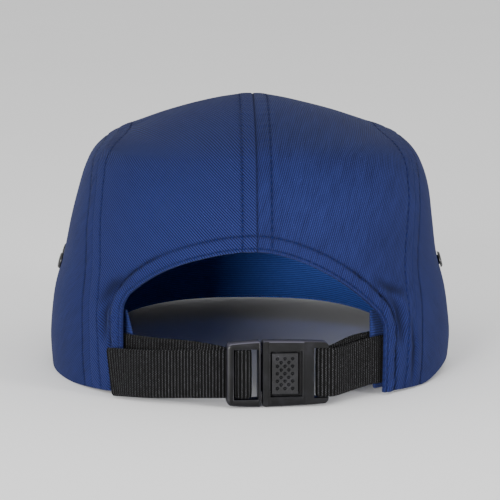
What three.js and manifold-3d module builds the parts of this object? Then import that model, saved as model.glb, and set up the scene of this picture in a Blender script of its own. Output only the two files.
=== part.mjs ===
// A five panel cap with an arched back opening, a webbing strap and a centre-release buckle.
// Millimetres, +Z up, the peak towards -Y and the back opening towards +Y. +X is the wearer's left.

import * as THREE from "three";
import { ParametricGeometry } from "three/addons/geometries/ParametricGeometry.js";
import { RoundedBoxGeometry } from "three/addons/geometries/RoundedBoxGeometry.js";
import { mergeVertices } from "three/addons/utils/BufferGeometryUtils.js";
import Module from "manifold-3d";

const wasm = await Module();
wasm.setup();

// Crown
const CROWN_HALF_WIDTH = 88;
const CROWN_FRONT_REACH = 103;
const CROWN_BACK_REACH = 103;
const CROWN_HEIGHT = 118;
const CENTRE_SEAM_X = -1.4; // the seam of the strip runs a little off the middle
const CLOTH = 2;
const BACK_LIFT = 1.2; // how far the rim rises at the foot of the back arch
const BACK_LIFT_START = 0.45; // where that rise starts and ends, in shares of the back reach
const BACK_LIFT_END = 0.8;
const CLEARANCE = 0.3; // between pieces that touch on the real cap

// Back opening
const ARCH_POST = 34; // from the side of the opening to the side of the cap
const ARCH_HALF_WIDTH = CROWN_HALF_WIDTH - ARCH_POST;
const ARCH_HEIGHT = 62;
const ARCH_RADIUS = 72;
const ARCH_CORNER_RADIUS = 13;

// Sweatband
const SWEATBAND_HEIGHT = 36;
const SWEATBAND_THICKNESS = 1.3;
const SWEATBAND_LEDGE = 5.5; // how far its ends show inside the arch
const SWEATBAND_SETBACK = 1; // from the rim up to its lower edge
const SWEATBAND_LEAN_START = 0.7; // where its ends start to lean back, as a share of its height
const SWEATBAND_STEP_START = 3; // past the sewn end of the strap, where the band steps back to the panels
const SWEATBAND_STEP_END = 15;

// Peak
const PEAK_REACH = 68;
const PEAK_MARGIN = 3; // how much further out the crown's side is than the peak's
const PEAK_HALF_WIDTH = CROWN_HALF_WIDTH - PEAK_MARGIN;
const PEAK_THICKNESS = 3;
const PEAK_SQUARE = 2.35; // the power of its rounded outline
const PEAK_ARCH = 10; // how far its middle stands above its two corners
const PEAK_CORNER_SHARE = 0.44; // where its corners meet the rim, as a share of the front reach

// Eyelets, in pairs on the side panels
const EYELET_OUTER_RADIUS = 3.3;
const EYELET_BARREL_RADIUS = 2.1;
const EYELET_HOLE_RADIUS = 1.5;
const EYELET_FLANGE = 0.8;
const EYELET_HEIGHT = 45.8;
const EYELET_BACK_Y = 12;
const EYELET_SPACING = 28;

// Strap
const STRAP_WIDTH = 20;
const STRAP_THICKNESS = 1.3;
const STRAP_TUCK = 11; // length sewn in behind the edge of the arch
const STRAP_SLACK = 0.6; // extra room for its sewn ends, because the panels bow a little over its width
const STRAP_RISE = 2.2; // how much higher its sewn ends sit than the buckle
const WRAP_CORNER = 0.3;
const WRAP_EASE = 0.15; // how far the webbing bows out where it turns round a bar
const TAIL_PAST_ARCH = 6.2; // how far the free tail reaches over the side of the arch
const TAIL_DROOP = 3;
const TAIL_STANDOFF = 4.2;
const TAIL_SLANT = 2.7; // how much shorter its cut end is at the bottom

// Buckle
const BUCKLE_HEIGHT = 27;
const BUCKLE_DEPTH = 6.2;
const BUCKLE_CORNER = 2;
const BUCKLE_EDGE = 0.7;
const BUCKLE_TAPER = 0.9; // how much lower its two ends are than its middle, top and bottom
const BUCKLE_GAP = 0.6; // between the two halves
const BUCKLE_JOINT_X = -2.4;
const BUCKLE_TURN = THREE.MathUtils.degToRad(6);
const BUCKLE_INSET = 2; // its back face, inside the line of the crown
const ADJUSTER_LENGTH = 14;
const ADJUSTER_LEFT_BAR = 2.5;
const ADJUSTER_RIGHT_BAR = 1.4;
const ADJUSTER_SLOT = 2.5; // open slot beside the webbing
const BODY_LENGTH = 27;
const BODY_SLOT = 0.9;
const BODY_LOOP_START = 21.3; // from the joint to the slot of the strap loop
const BAR_WIDTH = 3;
const BAR_DEPTH = 1.8;
const TONGUE_LENGTH = 15;
const TONGUE_HEIGHT = 15;
const TONGUE_DEPTH = 1.6;
const TONGUE_SET_BACK = 0.6; // from the middle of the buckle's depth
const WINDOW_START = 3.4; // from the joint to the button's window
const WINDOW_LENGTH = 13;
const WINDOW_HEIGHT = 18.8;
const BUTTON_MARGIN = 1;
const BUTTON_RECESS = 0.4; // how far the button lies below the face

// Mesh fineness
const CROWN_SLICES = 56;
const CROWN_RINGS = 17;
const OUTSIDE = 400; // longer than the cap in any direction

// Level sections of the crown. Height is a share of the crown's height, and side, front and back are
// shares of the reaches that way. Lean moves a section to the wearer's left, in shares of the half width.
// Square is the power of the section's rounded outline.
const CROWN_SECTIONS = [
  { height: 0.0, side: 0.994, front: 0.992, back: 0.994, lean: 0, square: 2.12 },
  { height: 0.1, side: 1.0, front: 1.0, back: 1.0, lean: 0, square: 2.13 },
  { height: 0.2, side: 0.99, front: 1.0, back: 0.998, lean: 0, square: 2.15 },
  { height: 0.3, side: 0.971, front: 0.99, back: 0.98, lean: 0, square: 2.2 },
  { height: 0.42, side: 0.93, front: 0.97, back: 0.955, lean: 0, square: 2.25 },
  { height: 0.55, side: 0.901, front: 0.945, back: 0.92, lean: -0.006, square: 2.3 },
  { height: 0.66, side: 0.872, front: 0.915, back: 0.875, lean: -0.016, square: 2.35 },
  { height: 0.74, side: 0.84, front: 0.885, back: 0.825, lean: -0.018, square: 2.4 },
  { height: 0.8, side: 0.796, front: 0.85, back: 0.77, lean: -0.018, square: 2.42 },
  { height: 0.845, side: 0.715, front: 0.79, back: 0.705, lean: -0.018, square: 2.38 },
  { height: 0.885, side: 0.58, front: 0.69, back: 0.605, lean: -0.015, square: 2.28 },
  { height: 0.925, side: 0.435, front: 0.55, back: 0.47, lean: -0.01, square: 2.15 },
  { height: 0.96, side: 0.28, front: 0.385, back: 0.32, lean: 0, square: 2.05 },
  { height: 0.985, side: 0.145, front: 0.205, back: 0.165, lean: 0, square: 2.0 },
  { height: 1.0, side: 0.0, front: 0.0, back: 0.0, lean: 0, square: 2.0 },
];

// Edge of a side panel seen from the side, from the rim up its back seam and forward over the shoulder, in
// shares of the crown's height and of its reach to the back or, below nought, to the front.
const SIDE_SEAM = [
  { height: -0.2, along: 0.675 },
  { height: 0.0, along: 0.672 },
  { height: 0.2, along: 0.663 },
  { height: 0.45, along: 0.6 },
  { height: 0.66, along: 0.5 },
  { height: 0.74, along: 0.436 },
  { height: 0.805, along: 0.33 },
  { height: 0.845, along: 0.17 },
  { height: 0.857, along: -0.03 },
  { height: 0.85, along: -0.25 },
  { height: 0.82, along: -0.47 },
  { height: 0.76, along: -0.7 },
  { height: 0.68, along: -0.9 },
];

// Seam round the front panel, seen from the side, in shares of the crown's height and front reach.
const FRONT_SEAM = [
  { height: -0.2, along: 0.49 },
  { height: 0.0, along: 0.5 },
  { height: 0.35, along: 0.57 },
  { height: 0.7, along: 0.64 },
  { height: 0.9, along: 0.68 },
  { height: 1.2, along: 0.68 },
];

const PALETTE = {
  cloth: new THREE.MeshStandardMaterial({ color: 0x29417a, roughness: 0.9, metalness: 0 }),
  band: new THREE.MeshStandardMaterial({ color: 0x2b4684, roughness: 0.85, metalness: 0 }),
  webbing: new THREE.MeshStandardMaterial({ color: 0x222224, roughness: 0.8, metalness: 0 }),
  plastic: new THREE.MeshStandardMaterial({ color: 0x2a2a2d, roughness: 0.45, metalness: 0 }),
  button: new THREE.MeshStandardMaterial({ color: 0x3b3b40, roughness: 0.6, metalness: 0 }),
  metal: new THREE.MeshStandardMaterial({ color: 0x17171a, roughness: 0.35, metalness: 0.8 }),
};

// Booleans

// The closed solid that a geometry bounds.
function solidOf(geometry) {
  const bare = new THREE.BufferGeometry().setAttribute("position", geometry.getAttribute("position"));
  bare.setIndex(geometry.index);
  const merged = mergeVertices(bare, 1e-4);
  const corners = merged.index.array;
  const kept = [];
  for (let i = 0; i < corners.length; i += 3) {
    const [a, b, c] = corners.subarray(i, i + 3);
    if (a !== b && b !== c && c !== a) kept.push(a, b, c);
  }
  const mesh = new wasm.Mesh({
    numProp: 3,
    vertProperties: merged.attributes.position.array,
    triVerts: new Uint32Array(kept),
  });
  return new wasm.Manifold(mesh);
}

// The geometry of a solid.
function geometryOf(solid) {
  const mesh = solid.getMesh();
  const geometry = new THREE.BufferGeometry();
  geometry.setAttribute("position", new THREE.BufferAttribute(mesh.vertProperties, 3));
  geometry.setIndex(new THREE.BufferAttribute(mesh.triVerts, 1));
  geometry.computeVertexNormals();
  return geometry;
}

// A block between two corners, edges sharp.
function block(low, high) {
  const size = high.clone().sub(low);
  const middle = low.clone().add(high).multiplyScalar(0.5);
  return new THREE.BoxGeometry(size.x, size.y, size.z).translate(middle.x, middle.y, middle.z);
}

// A closed outline seen from behind, (x, z), run along Y from one place to another.
function prismAlongY(outline, from, to) {
  const shape = outline instanceof THREE.Shape ? outline : new THREE.Shape(outline);
  const options = { depth: to - from, bevelEnabled: false, curveSegments: 10 };
  const prism = new THREE.ExtrudeGeometry(shape, options);
  return prism.rotateX(Math.PI / 2).translate(0, to, 0);
}

// A closed outline seen from the side, (y, z), run across the whole width.
function prismAcross(outline) {
  const options = { depth: OUTSIDE, bevelEnabled: false };
  const prism = new THREE.ExtrudeGeometry(new THREE.Shape(outline), options);
  const axes = [new THREE.Vector3(0, 1, 0), new THREE.Vector3(0, 0, 1), new THREE.Vector3(1, 0, 0)];
  return prism.applyMatrix4(new THREE.Matrix4().makeBasis(...axes)).translate(-OUTSIDE / 2, 0, 0);
}

// The crown's form

// A smooth curve through one column of the sections, read at a row number that need not be whole.
function column(name) {
  const last = CROWN_SECTIONS.length - 1;
  const curve = new THREE.SplineCurve(CROWN_SECTIONS.map((row, i) => new THREE.Vector2(i, row[name])));
  return (row) => curve.getPoint(row / last).y;
}

const sectionHeight = column("height");
const sectionSide = column("side");
const sectionFront = column("front");
const sectionBack = column("back");
const sectionLean = column("lean");
const sectionSquare = column("square");
const TOP_ROW = CROWN_SECTIONS.length - 1;

// How far the rim rises above the table at a place along the cap: under the peak and at the back arch.
function rimLift(y) {
  const corner = PEAK_CORNER_SHARE * CROWN_FRONT_REACH;
  const front = THREE.MathUtils.smoothstep(-y, corner, CROWN_FRONT_REACH);
  const back = THREE.MathUtils.smoothstep(y / CROWN_BACK_REACH, BACK_LIFT_START, BACK_LIFT_END);
  return PEAK_ARCH * front + BACK_LIFT * back;
}

// A point of the crown, inset from its outer face, at an angle round it (0 at +X, a quarter turn at +Y).
function crownPoint(angle, row, inset) {
  const power = 2 / sectionSquare(row);
  const across = Math.sign(Math.cos(angle)) * Math.abs(Math.cos(angle)) ** power;
  const along = Math.sign(Math.sin(angle)) * Math.abs(Math.sin(angle)) ** power;
  const backReach = sectionBack(row) * (CROWN_BACK_REACH - inset);
  const frontReach = sectionFront(row) * (CROWN_FRONT_REACH - inset);
  const share = sectionHeight(row);
  const rim = rimLift(along * (along > 0 ? CROWN_BACK_REACH : CROWN_FRONT_REACH));
  return new THREE.Vector3(
    across * sectionSide(row) * (CROWN_HALF_WIDTH - inset) + sectionLean(row) * CROWN_HALF_WIDTH,
    along * (along > 0 ? backReach : frontReach),
    share * (CROWN_HEIGHT - inset) + rim * (1 - share) ** 2,
  );
}

// The row whose section lies at a share of the crown's height.
function rowAt(share) {
  let low = 0;
  let high = TOP_ROW;
  for (let i = 0; i < 24; i += 1) {
    const middle = (low + high) / 2;
    if (sectionHeight(middle) < share) low = middle;
    else high = middle;
  }
  return low;
}

// A wall of the crown between two insets, each a function of the angle, open at the rim.
function crownWall(outerInset, innerInset, rise) {
  const rings = CROWN_RINGS * 2 + 1;
  const surface = (u, v, target) => {
    // The last slice ends on the first one's own angle, so that the wall closes.
    const slice = Math.round(u * CROWN_SLICES) % CROWN_SLICES;
    const angle = (-slice * 2 * Math.PI) / CROWN_SLICES;
    const ring = Math.round(v * rings);
    const outer = ring <= CROWN_RINGS;
    const down = outer ? ring / CROWN_RINGS : (rings - ring) / CROWN_RINGS;
    const row = TOP_ROW * (1 - down);
    const inset = outer ? outerInset(angle) : innerInset(angle);
    target.copy(crownPoint(angle, row, inset));
    target.z += rise;
  };
  return solidOf(new ParametricGeometry(surface, CROWN_SLICES, rings));
}

// Half of the plan outline at the height of the strap: how far back the crown reaches at a place across it.
const STRAP_ROW = rowAt(0.5 * BUCKLE_HEIGHT / CROWN_HEIGHT);
function backCurve(x, inset) {
  const square = sectionSquare(STRAP_ROW);
  const across = Math.abs(x) / ((CROWN_HALF_WIDTH - inset) * sectionSide(STRAP_ROW));
  return (CROWN_BACK_REACH - inset) * sectionBack(STRAP_ROW) * (1 - across ** square) ** (1 / square);
}

// Panels

// Outline of the back opening, grown outwards by a margin.
function archOutline(margin) {
  const half = ARCH_HALF_WIDTH + margin;
  const corner = ARCH_CORNER_RADIUS + margin;
  const radius = ARCH_RADIUS + margin;
  const archMiddle = ARCH_HEIGHT - ARCH_RADIUS;
  // The corner arc touches the upright side and the large arc from inside.
  const cornerX = half - corner;
  const cornerZ = archMiddle + Math.sqrt((radius - corner) ** 2 - cornerX ** 2);
  const meet = Math.atan2(cornerZ - archMiddle, cornerX);
  const shape = new THREE.Shape();
  shape.moveTo(half, -OUTSIDE / 2);
  shape.lineTo(half, cornerZ);
  shape.absarc(cornerX, cornerZ, corner, 0, meet, false);
  shape.absarc(0, archMiddle, radius, meet, Math.PI - meet, false);
  shape.absarc(-cornerX, cornerZ, corner, Math.PI - meet, Math.PI, false);
  shape.lineTo(-half, -OUTSIDE / 2);
  return shape;
}

// The side panel's edge as a closed outline seen from the side, grown outwards by a margin.
function sidePanelOutline(margin) {
  const stops = SIDE_SEAM.map(({ height, along }) => {
    const reach = along > 0 ? CROWN_BACK_REACH : CROWN_FRONT_REACH;
    return new THREE.Vector2(along * reach, height * CROWN_HEIGHT);
  });
  const seam = new THREE.SplineCurve(stops);
  const points = seam.getPoints(SIDE_SEAM.length * 3);
  const outline = points.map((point, i) => {
    const along = seam.getTangent(i / (points.length - 1));
    return new THREE.Vector2(point.x + along.y * margin, point.y - along.x * margin);
  });
  outline.push(new THREE.Vector2(outline.at(-1).x, outline[0].y));
  return outline;
}

// The front panel's seam, moved backwards by a margin.
function frontSeamLine(margin) {
  return FRONT_SEAM.map(({ height, along }) => {
    return new THREE.Vector2(margin - along * CROWN_FRONT_REACH, height * CROWN_HEIGHT);
  });
}

// Every point between an upward line and a straight upright beside it, as a closed outline.
function regionBeside(line, edge) {
  return [...line, new THREE.Vector2(edge, line.at(-1).y), new THREE.Vector2(edge, line[0].y)];
}

const HALF_GAP = CLEARANCE / 2;
const noInset = () => 0;
const crown = crownWall(noInset, () => CLOTH, 0);
const frontRegion = solidOf(prismAcross(regionBeside(frontSeamLine(-HALF_GAP), -OUTSIDE / 2)));
const behindRegion = solidOf(prismAcross(regionBeside(frontSeamLine(HALF_GAP), OUTSIDE / 2)));
const crownBehind = crown.intersect(behindRegion);
const stripBehind = crownBehind.subtract(solidOf(prismAcross(sidePanelOutline(HALF_GAP))));
const sidesBehind = crownBehind.intersect(solidOf(prismAcross(sidePanelOutline(-HALF_GAP))));
const archPrism = solidOf(prismAlongY(archOutline(0), 0, OUTSIDE / 2));

// Everything on one side of the centre seam, with half a seam's gap left open.
function halfSpace(side) {
  const reach = new THREE.Vector3(OUTSIDE / 4, OUTSIDE / 2, OUTSIDE / 2);
  const middle = CENTRE_SEAM_X + side * (HALF_GAP + reach.x);
  const low = new THREE.Vector3(middle, 0, 0).sub(reach);
  const high = new THREE.Vector3(middle, 0, 0).add(reach);
  return solidOf(block(low, high));
}

function backPanel(side) {
  return stripBehind.intersect(halfSpace(side)).subtract(archPrism);
}

// Eyelets

// Where an eyelet sits: its place on the outer face and the direction out of the cloth.
function eyeletSeat(side, y) {
  const row = rowAt(EYELET_HEIGHT / CROWN_HEIGHT);
  const square = sectionSquare(row);
  const reach = y > 0 ? sectionBack(row) * CROWN_BACK_REACH : sectionFront(row) * CROWN_FRONT_REACH;
  const along = (Math.abs(y) / reach) ** (square / 2);
  const angle = Math.sign(y) * Math.asin(along);
  const step = 0.01;
  const place = crownPoint(angle, row, 0);
  const round = crownPoint(angle + step, row, 0).sub(place);
  const up = crownPoint(angle, row + step, 0).sub(place);
  const out = round.cross(up).normalize();
  place.x *= side;
  out.x *= side;
  return { place, out };
}

// Turns +Y of a piece to the way out of the cloth.
function seatOn(object, seat) {
  object.position.copy(seat.place);
  object.quaternion.setFromUnitVectors(new THREE.Vector3(0, 1, 0), seat.out);
  object.updateMatrixWorld();
  return object;
}

// A rolled metal eyelet: a barrel through the cloth with a flange on each face.
function eyeletGeometry() {
  const outerFace = CLEARANCE;
  const innerFace = -CLOTH - CLEARANCE;
  const lip = (EYELET_HOLE_RADIUS + EYELET_OUTER_RADIUS) / 2;
  const profile = [
    [EYELET_HOLE_RADIUS, innerFace - EYELET_FLANGE / 2],
    [lip, innerFace - EYELET_FLANGE],
    [EYELET_OUTER_RADIUS, innerFace],
    [EYELET_BARREL_RADIUS, innerFace],
    [EYELET_BARREL_RADIUS, outerFace],
    [EYELET_OUTER_RADIUS, outerFace],
    [EYELET_OUTER_RADIUS - EYELET_FLANGE / 3, outerFace + EYELET_FLANGE * 0.7],
    [lip, outerFace + EYELET_FLANGE],
    [EYELET_HOLE_RADIUS, outerFace + EYELET_FLANGE / 2],
  ];
  const points = [...profile, profile[0]].map(([radius, height]) => new THREE.Vector2(radius, height));
  return new THREE.LatheGeometry(points, 14);
}

function eyeletHole(seat) {
  const radius = EYELET_BARREL_RADIUS + CLEARANCE;
  const drill = new THREE.Mesh(new THREE.CylinderGeometry(radius, radius, CLOTH * 8, 16));
  seatOn(drill, seat);
  return solidOf(drill.geometry.applyMatrix4(drill.matrixWorld));
}

const EYELETS = [
  { name: "eyelet_left_back", seat: eyeletSeat(1, EYELET_BACK_Y) },
  { name: "eyelet_left_front", seat: eyeletSeat(1, EYELET_BACK_Y - EYELET_SPACING) },
  { name: "eyelet_right_back", seat: eyeletSeat(-1, EYELET_BACK_Y) },
  { name: "eyelet_right_front", seat: eyeletSeat(-1, EYELET_BACK_Y - EYELET_SPACING) },
];

function sidePanel(side) {
  const panel = sidesBehind.intersect(halfSpace(side));
  return EYELETS.reduce((cut, eyelet) => cut.subtract(eyeletHole(eyelet.seat)), panel);
}

// Sweatband

// The band lies on the panels, and steps inwards near the arch to leave room for the strap's sewn ends.
const POCKET_INSET = CLOTH + CLEARANCE + STRAP_SLACK + STRAP_THICKNESS / 2;
function bandInset(angle) {
  const x = Math.abs(crownPoint(angle, 0, 0).x);
  const room = STRAP_SLACK + STRAP_THICKNESS + CLEARANCE + STRAP_SLACK / 2;
  const tucked = ARCH_HALF_WIDTH + STRAP_TUCK;
  const behind = Math.sin(angle) > 0;
  const share = 1 - THREE.MathUtils.smoothstep(x - tucked, SWEATBAND_STEP_START, SWEATBAND_STEP_END);
  return CLOTH + CLEARANCE + (behind ? room * share : 0);
}

function sweatband() {
  const wall = crownWall(bandInset, (angle) => bandInset(angle) + SWEATBAND_THICKNESS, SWEATBAND_SETBACK);
  const low = new THREE.Vector3(-OUTSIDE / 2, -OUTSIDE / 2, -OUTSIDE / 2);
  const high = new THREE.Vector3(OUTSIDE / 2, OUTSIDE / 2, SWEATBAND_HEIGHT);
  const half = ARCH_HALF_WIDTH - SWEATBAND_LEDGE;
  const leanStart = SWEATBAND_HEIGHT * SWEATBAND_LEAN_START;
  // Its ends stand inside the arch and lean back to the arch's edge above the strap.
  const opening = [
    new THREE.Vector2(half, -OUTSIDE / 2),
    new THREE.Vector2(half, leanStart),
    new THREE.Vector2(ARCH_HALF_WIDTH, SWEATBAND_HEIGHT + 1),
    new THREE.Vector2(-ARCH_HALF_WIDTH, SWEATBAND_HEIGHT + 1),
    new THREE.Vector2(-half, leanStart),
    new THREE.Vector2(-half, -OUTSIDE / 2),
  ];
  return wall.intersect(solidOf(block(low, high))).subtract(solidOf(prismAlongY(opening, 0, OUTSIDE / 2)));
}

// Peak

// A flat slab bent to the rim along one edge and to the peak's own outline along the other.
function peakGeometry() {
  const slab = new THREE.BoxGeometry(1, 1, 1, 36, 8, 1);
  const corner = crownCornerAngle();
  const tipY = -PEAK_CORNER_SHARE * CROWN_FRONT_REACH;
  const outerReach = CROWN_FRONT_REACH + PEAK_REACH + tipY;
  const position = slab.getAttribute("position");
  for (let i = 0; i < position.count; i += 1) {
    const share = 0.5 - position.getX(i);
    const out = position.getY(i) + 0.5;
    const height = (position.getZ(i) + 0.5) * PEAK_THICKNESS;
    const angle = -Math.PI + corner + share * (Math.PI - 2 * corner);
    const inner = crownPoint(angle, rowAt(height / CROWN_HEIGHT), -CLEARANCE);
    const sweep = -Math.PI + share * Math.PI;
    const bow = 2 / PEAK_SQUARE;
    const outerX = Math.sign(Math.cos(sweep)) * Math.abs(Math.cos(sweep)) ** bow * PEAK_HALF_WIDTH;
    const outerY = tipY - Math.abs(Math.sin(sweep)) ** bow * outerReach;
    const x = THREE.MathUtils.lerp(inner.x, outerX, out);
    const y = THREE.MathUtils.lerp(inner.y, outerY, out);
    const rim = rimLift(inner.y);
    const curl = PEAK_ARCH * (1 - (outerX / PEAK_HALF_WIDTH) ** 2);
    const lift = THREE.MathUtils.lerp(rim, curl, out) + CLEARANCE;
    position.setXYZ(i, x, y, lift + height);
  }
  return slab;
}

// The angle from the side of the rim to the corner of the peak.
function crownCornerAngle() {
  return Math.asin(PEAK_CORNER_SHARE ** (sectionSquare(0) / 2));
}

// Buckle

// The buckle's own frame: u to the wearer's left from the joint, depth out of the cap, z up from its middle.
const BUCKLE_MIDDLE_Z = BUCKLE_HEIGHT / 2 + CLEARANCE;
const BUCKLE_Y = backCurve(BUCKLE_JOINT_X, BUCKLE_INSET);

// A plate with a rounded, tapering outline and softened edges, from the joint to a length either way.
function plate(length) {
  const tall = BUCKLE_HEIGHT / 2;
  const low = tall - BUCKLE_TAPER;
  const end = Math.abs(length) - BUCKLE_CORNER;
  const way = Math.sign(length);
  const outline = new THREE.Shape();
  outline.moveTo(0, -tall);
  outline.lineTo(way * end, -low);
  outline.quadraticCurveTo(length, -low, length, -low + BUCKLE_CORNER);
  outline.lineTo(length, low - BUCKLE_CORNER);
  outline.quadraticCurveTo(length, low, way * end, low);
  outline.lineTo(0, tall);
  const plateGeometry = new THREE.ExtrudeGeometry(outline, {
    depth: BUCKLE_DEPTH - 2 * BUCKLE_EDGE,
    bevelThickness: BUCKLE_EDGE,
    bevelSize: BUCKLE_EDGE,
    bevelOffset: -BUCKLE_EDGE,
    bevelSegments: 1,
    curveSegments: 3,
  });
  const aside = (way * BUCKLE_GAP) / 2;
  return plateGeometry.rotateX(Math.PI / 2).translate(aside, BUCKLE_DEPTH - BUCKLE_EDGE, 0);
}

// A block in a half's frame, given by its extent in u and depth and its height about the middle.
function buckleBlock(fromU, toU, fromDepth, toDepth, height) {
  const low = new THREE.Vector3(Math.min(fromU, toU), fromDepth, -height / 2);
  const high = new THREE.Vector3(Math.max(fromU, toU), toDepth, height / 2);
  return solidOf(block(low, high));
}

// A rounded bar from rail to rail.
function buckleBar(fromU, toU, fromDepth, toDepth) {
  const width = Math.abs(toU - fromU);
  const depth = toDepth - fromDepth;
  const bar = new RoundedBoxGeometry(width, depth, STRAP_WIDTH + 4, 1, Math.min(width, depth) / 4);
  return solidOf(bar.translate((fromU + toU) / 2, (fromDepth + toDepth) / 2, 0));
}

const LAYER = STRAP_THICKNESS + CLEARANCE; // one layer of webbing with its clearance
const STRAP_OPENING = STRAP_WIDTH + 2 * CLEARANCE;
const BACK_LAYER = CLEARANCE + STRAP_THICKNESS / 2;
const BAR_BACK = CLEARANCE + LAYER;
const BAR_FRONT = BAR_BACK + BAR_DEPTH;
const FRONT_LAYER = BAR_FRONT + CLEARANCE + STRAP_THICKNESS / 2;

// The adjuster half: a frame with a centre bar that the webbing wraps, an end bar over it, and the tongue.
const CENTRE_BAR_U = ADJUSTER_RIGHT_BAR + ADJUSTER_SLOT + LAYER;
const CENTRE_BAR_END = CENTRE_BAR_U + BAR_WIDTH;
const END_BAR_U = ADJUSTER_LENGTH - ADJUSTER_LEFT_BAR;
const TONGUE_BACK = (BUCKLE_DEPTH - TONGUE_DEPTH) / 2 - TONGUE_SET_BACK;
function adjuster() {
  const frame = solidOf(plate(ADJUSTER_LENGTH));
  const window = buckleBlock(ADJUSTER_RIGHT_BAR, END_BAR_U, -1, BUCKLE_DEPTH + 1, STRAP_OPENING);
  const underBar = buckleBlock(END_BAR_U - 1, ADJUSTER_LENGTH + 1, -1, BAR_BACK + LAYER, STRAP_OPENING);
  const centreBar = buckleBar(CENTRE_BAR_U, CENTRE_BAR_END, BAR_BACK, BAR_FRONT);
  const tongueFront = TONGUE_BACK + TONGUE_DEPTH;
  const tongue = buckleBlock(ADJUSTER_RIGHT_BAR / 2, -TONGUE_LENGTH, TONGUE_BACK, tongueFront, TONGUE_HEIGHT);
  return frame.subtract(window).subtract(underBar).add(centreBar).add(tongue);
}

// The other half: a box with the button's window, a hollow for the tongue, and a loop for the sewn strap.
const LOOP_BAR_U = BODY_LOOP_START + BODY_SLOT + LAYER;
function body() {
  const shell = solidOf(plate(-BODY_LENGTH));
  const windowBack = TONGUE_BACK + TONGUE_DEPTH;
  const window = buckleBlock(
    -WINDOW_START,
    -WINDOW_START - WINDOW_LENGTH,
    windowBack,
    BUCKLE_DEPTH + 1,
    WINDOW_HEIGHT,
  );
  const hollow = buckleBlock(
    1,
    -TONGUE_LENGTH - CLEARANCE,
    TONGUE_BACK - CLEARANCE,
    TONGUE_BACK + TONGUE_DEPTH + CLEARANCE,
    TONGUE_HEIGHT + 2 * CLEARANCE,
  );
  const loop = buckleBlock(-BODY_LOOP_START, -BODY_LENGTH - 1, -1, BUCKLE_DEPTH + 1, STRAP_OPENING);
  const bar = buckleBar(-LOOP_BAR_U, -LOOP_BAR_U - BAR_WIDTH, BAR_BACK, BAR_FRONT);
  return shell.subtract(window).subtract(hollow).subtract(loop).add(bar);
}

function releaseButton() {
  const back = TONGUE_BACK + TONGUE_DEPTH + CLEARANCE;
  const length = WINDOW_LENGTH - 2 * BUTTON_MARGIN;
  const depth = BUCKLE_DEPTH - BUTTON_RECESS - back;
  const button = new RoundedBoxGeometry(length, depth, WINDOW_HEIGHT - 2 * BUTTON_MARGIN, 1, 0.5);
  return button.translate(-WINDOW_START - WINDOW_LENGTH / 2, back + depth / 2, 0);
}

// Straps

// A long flat box bent along a route of stops at its middle height, with as many steps between each two
// stops. The slant is how much shorter its far end is at the bottom.
function bentStrap(stops, steps, slant = 0) {
  const curve = new THREE.CatmullRomCurve3(stops, false, "centripetal");
  const segments = steps * (stops.length - 1);
  const strap = new THREE.BoxGeometry(1, STRAP_THICKNESS, STRAP_WIDTH, segments, 1, 1);
  const position = strap.getAttribute("position");
  const along = new THREE.Vector3();
  const place = new THREE.Vector3();
  for (let i = 0; i < position.count; i += 1) {
    const share = position.getX(i) + 0.5;
    const belowTop = 0.5 - position.getZ(i) / STRAP_WIDTH;
    curve.getTangent(share, along).setZ(0).normalize();
    curve.getPoint(share, place);
    const shorter = slant * belowTop * THREE.MathUtils.smoothstep(share, 0.96, 1);
    const offset = position.getY(i);
    position.setXYZ(
      i,
      place.x - along.y * offset - along.x * shorter,
      place.y + along.x * offset - along.y * shorter,
      place.z + position.getZ(i),
    );
  }
  return strap;
}

// A stop beside the crown: across, inset from its outer face, and how far above the buckle's middle.
function crownStop(x, inset, above) {
  return new THREE.Vector3(x, backCurve(x, inset), BUCKLE_MIDDLE_Z + above);
}

// A stop inside the buckle, given in the buckle's frame.
function buckleStop(u, depth, above = 0) {
  const stop = new THREE.Vector3(u, depth, above).applyAxisAngle(new THREE.Vector3(0, 0, 1), BUCKLE_TURN);
  return stop.add(new THREE.Vector3(BUCKLE_JOINT_X, BUCKLE_Y, BUCKLE_MIDDLE_Z));
}

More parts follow.
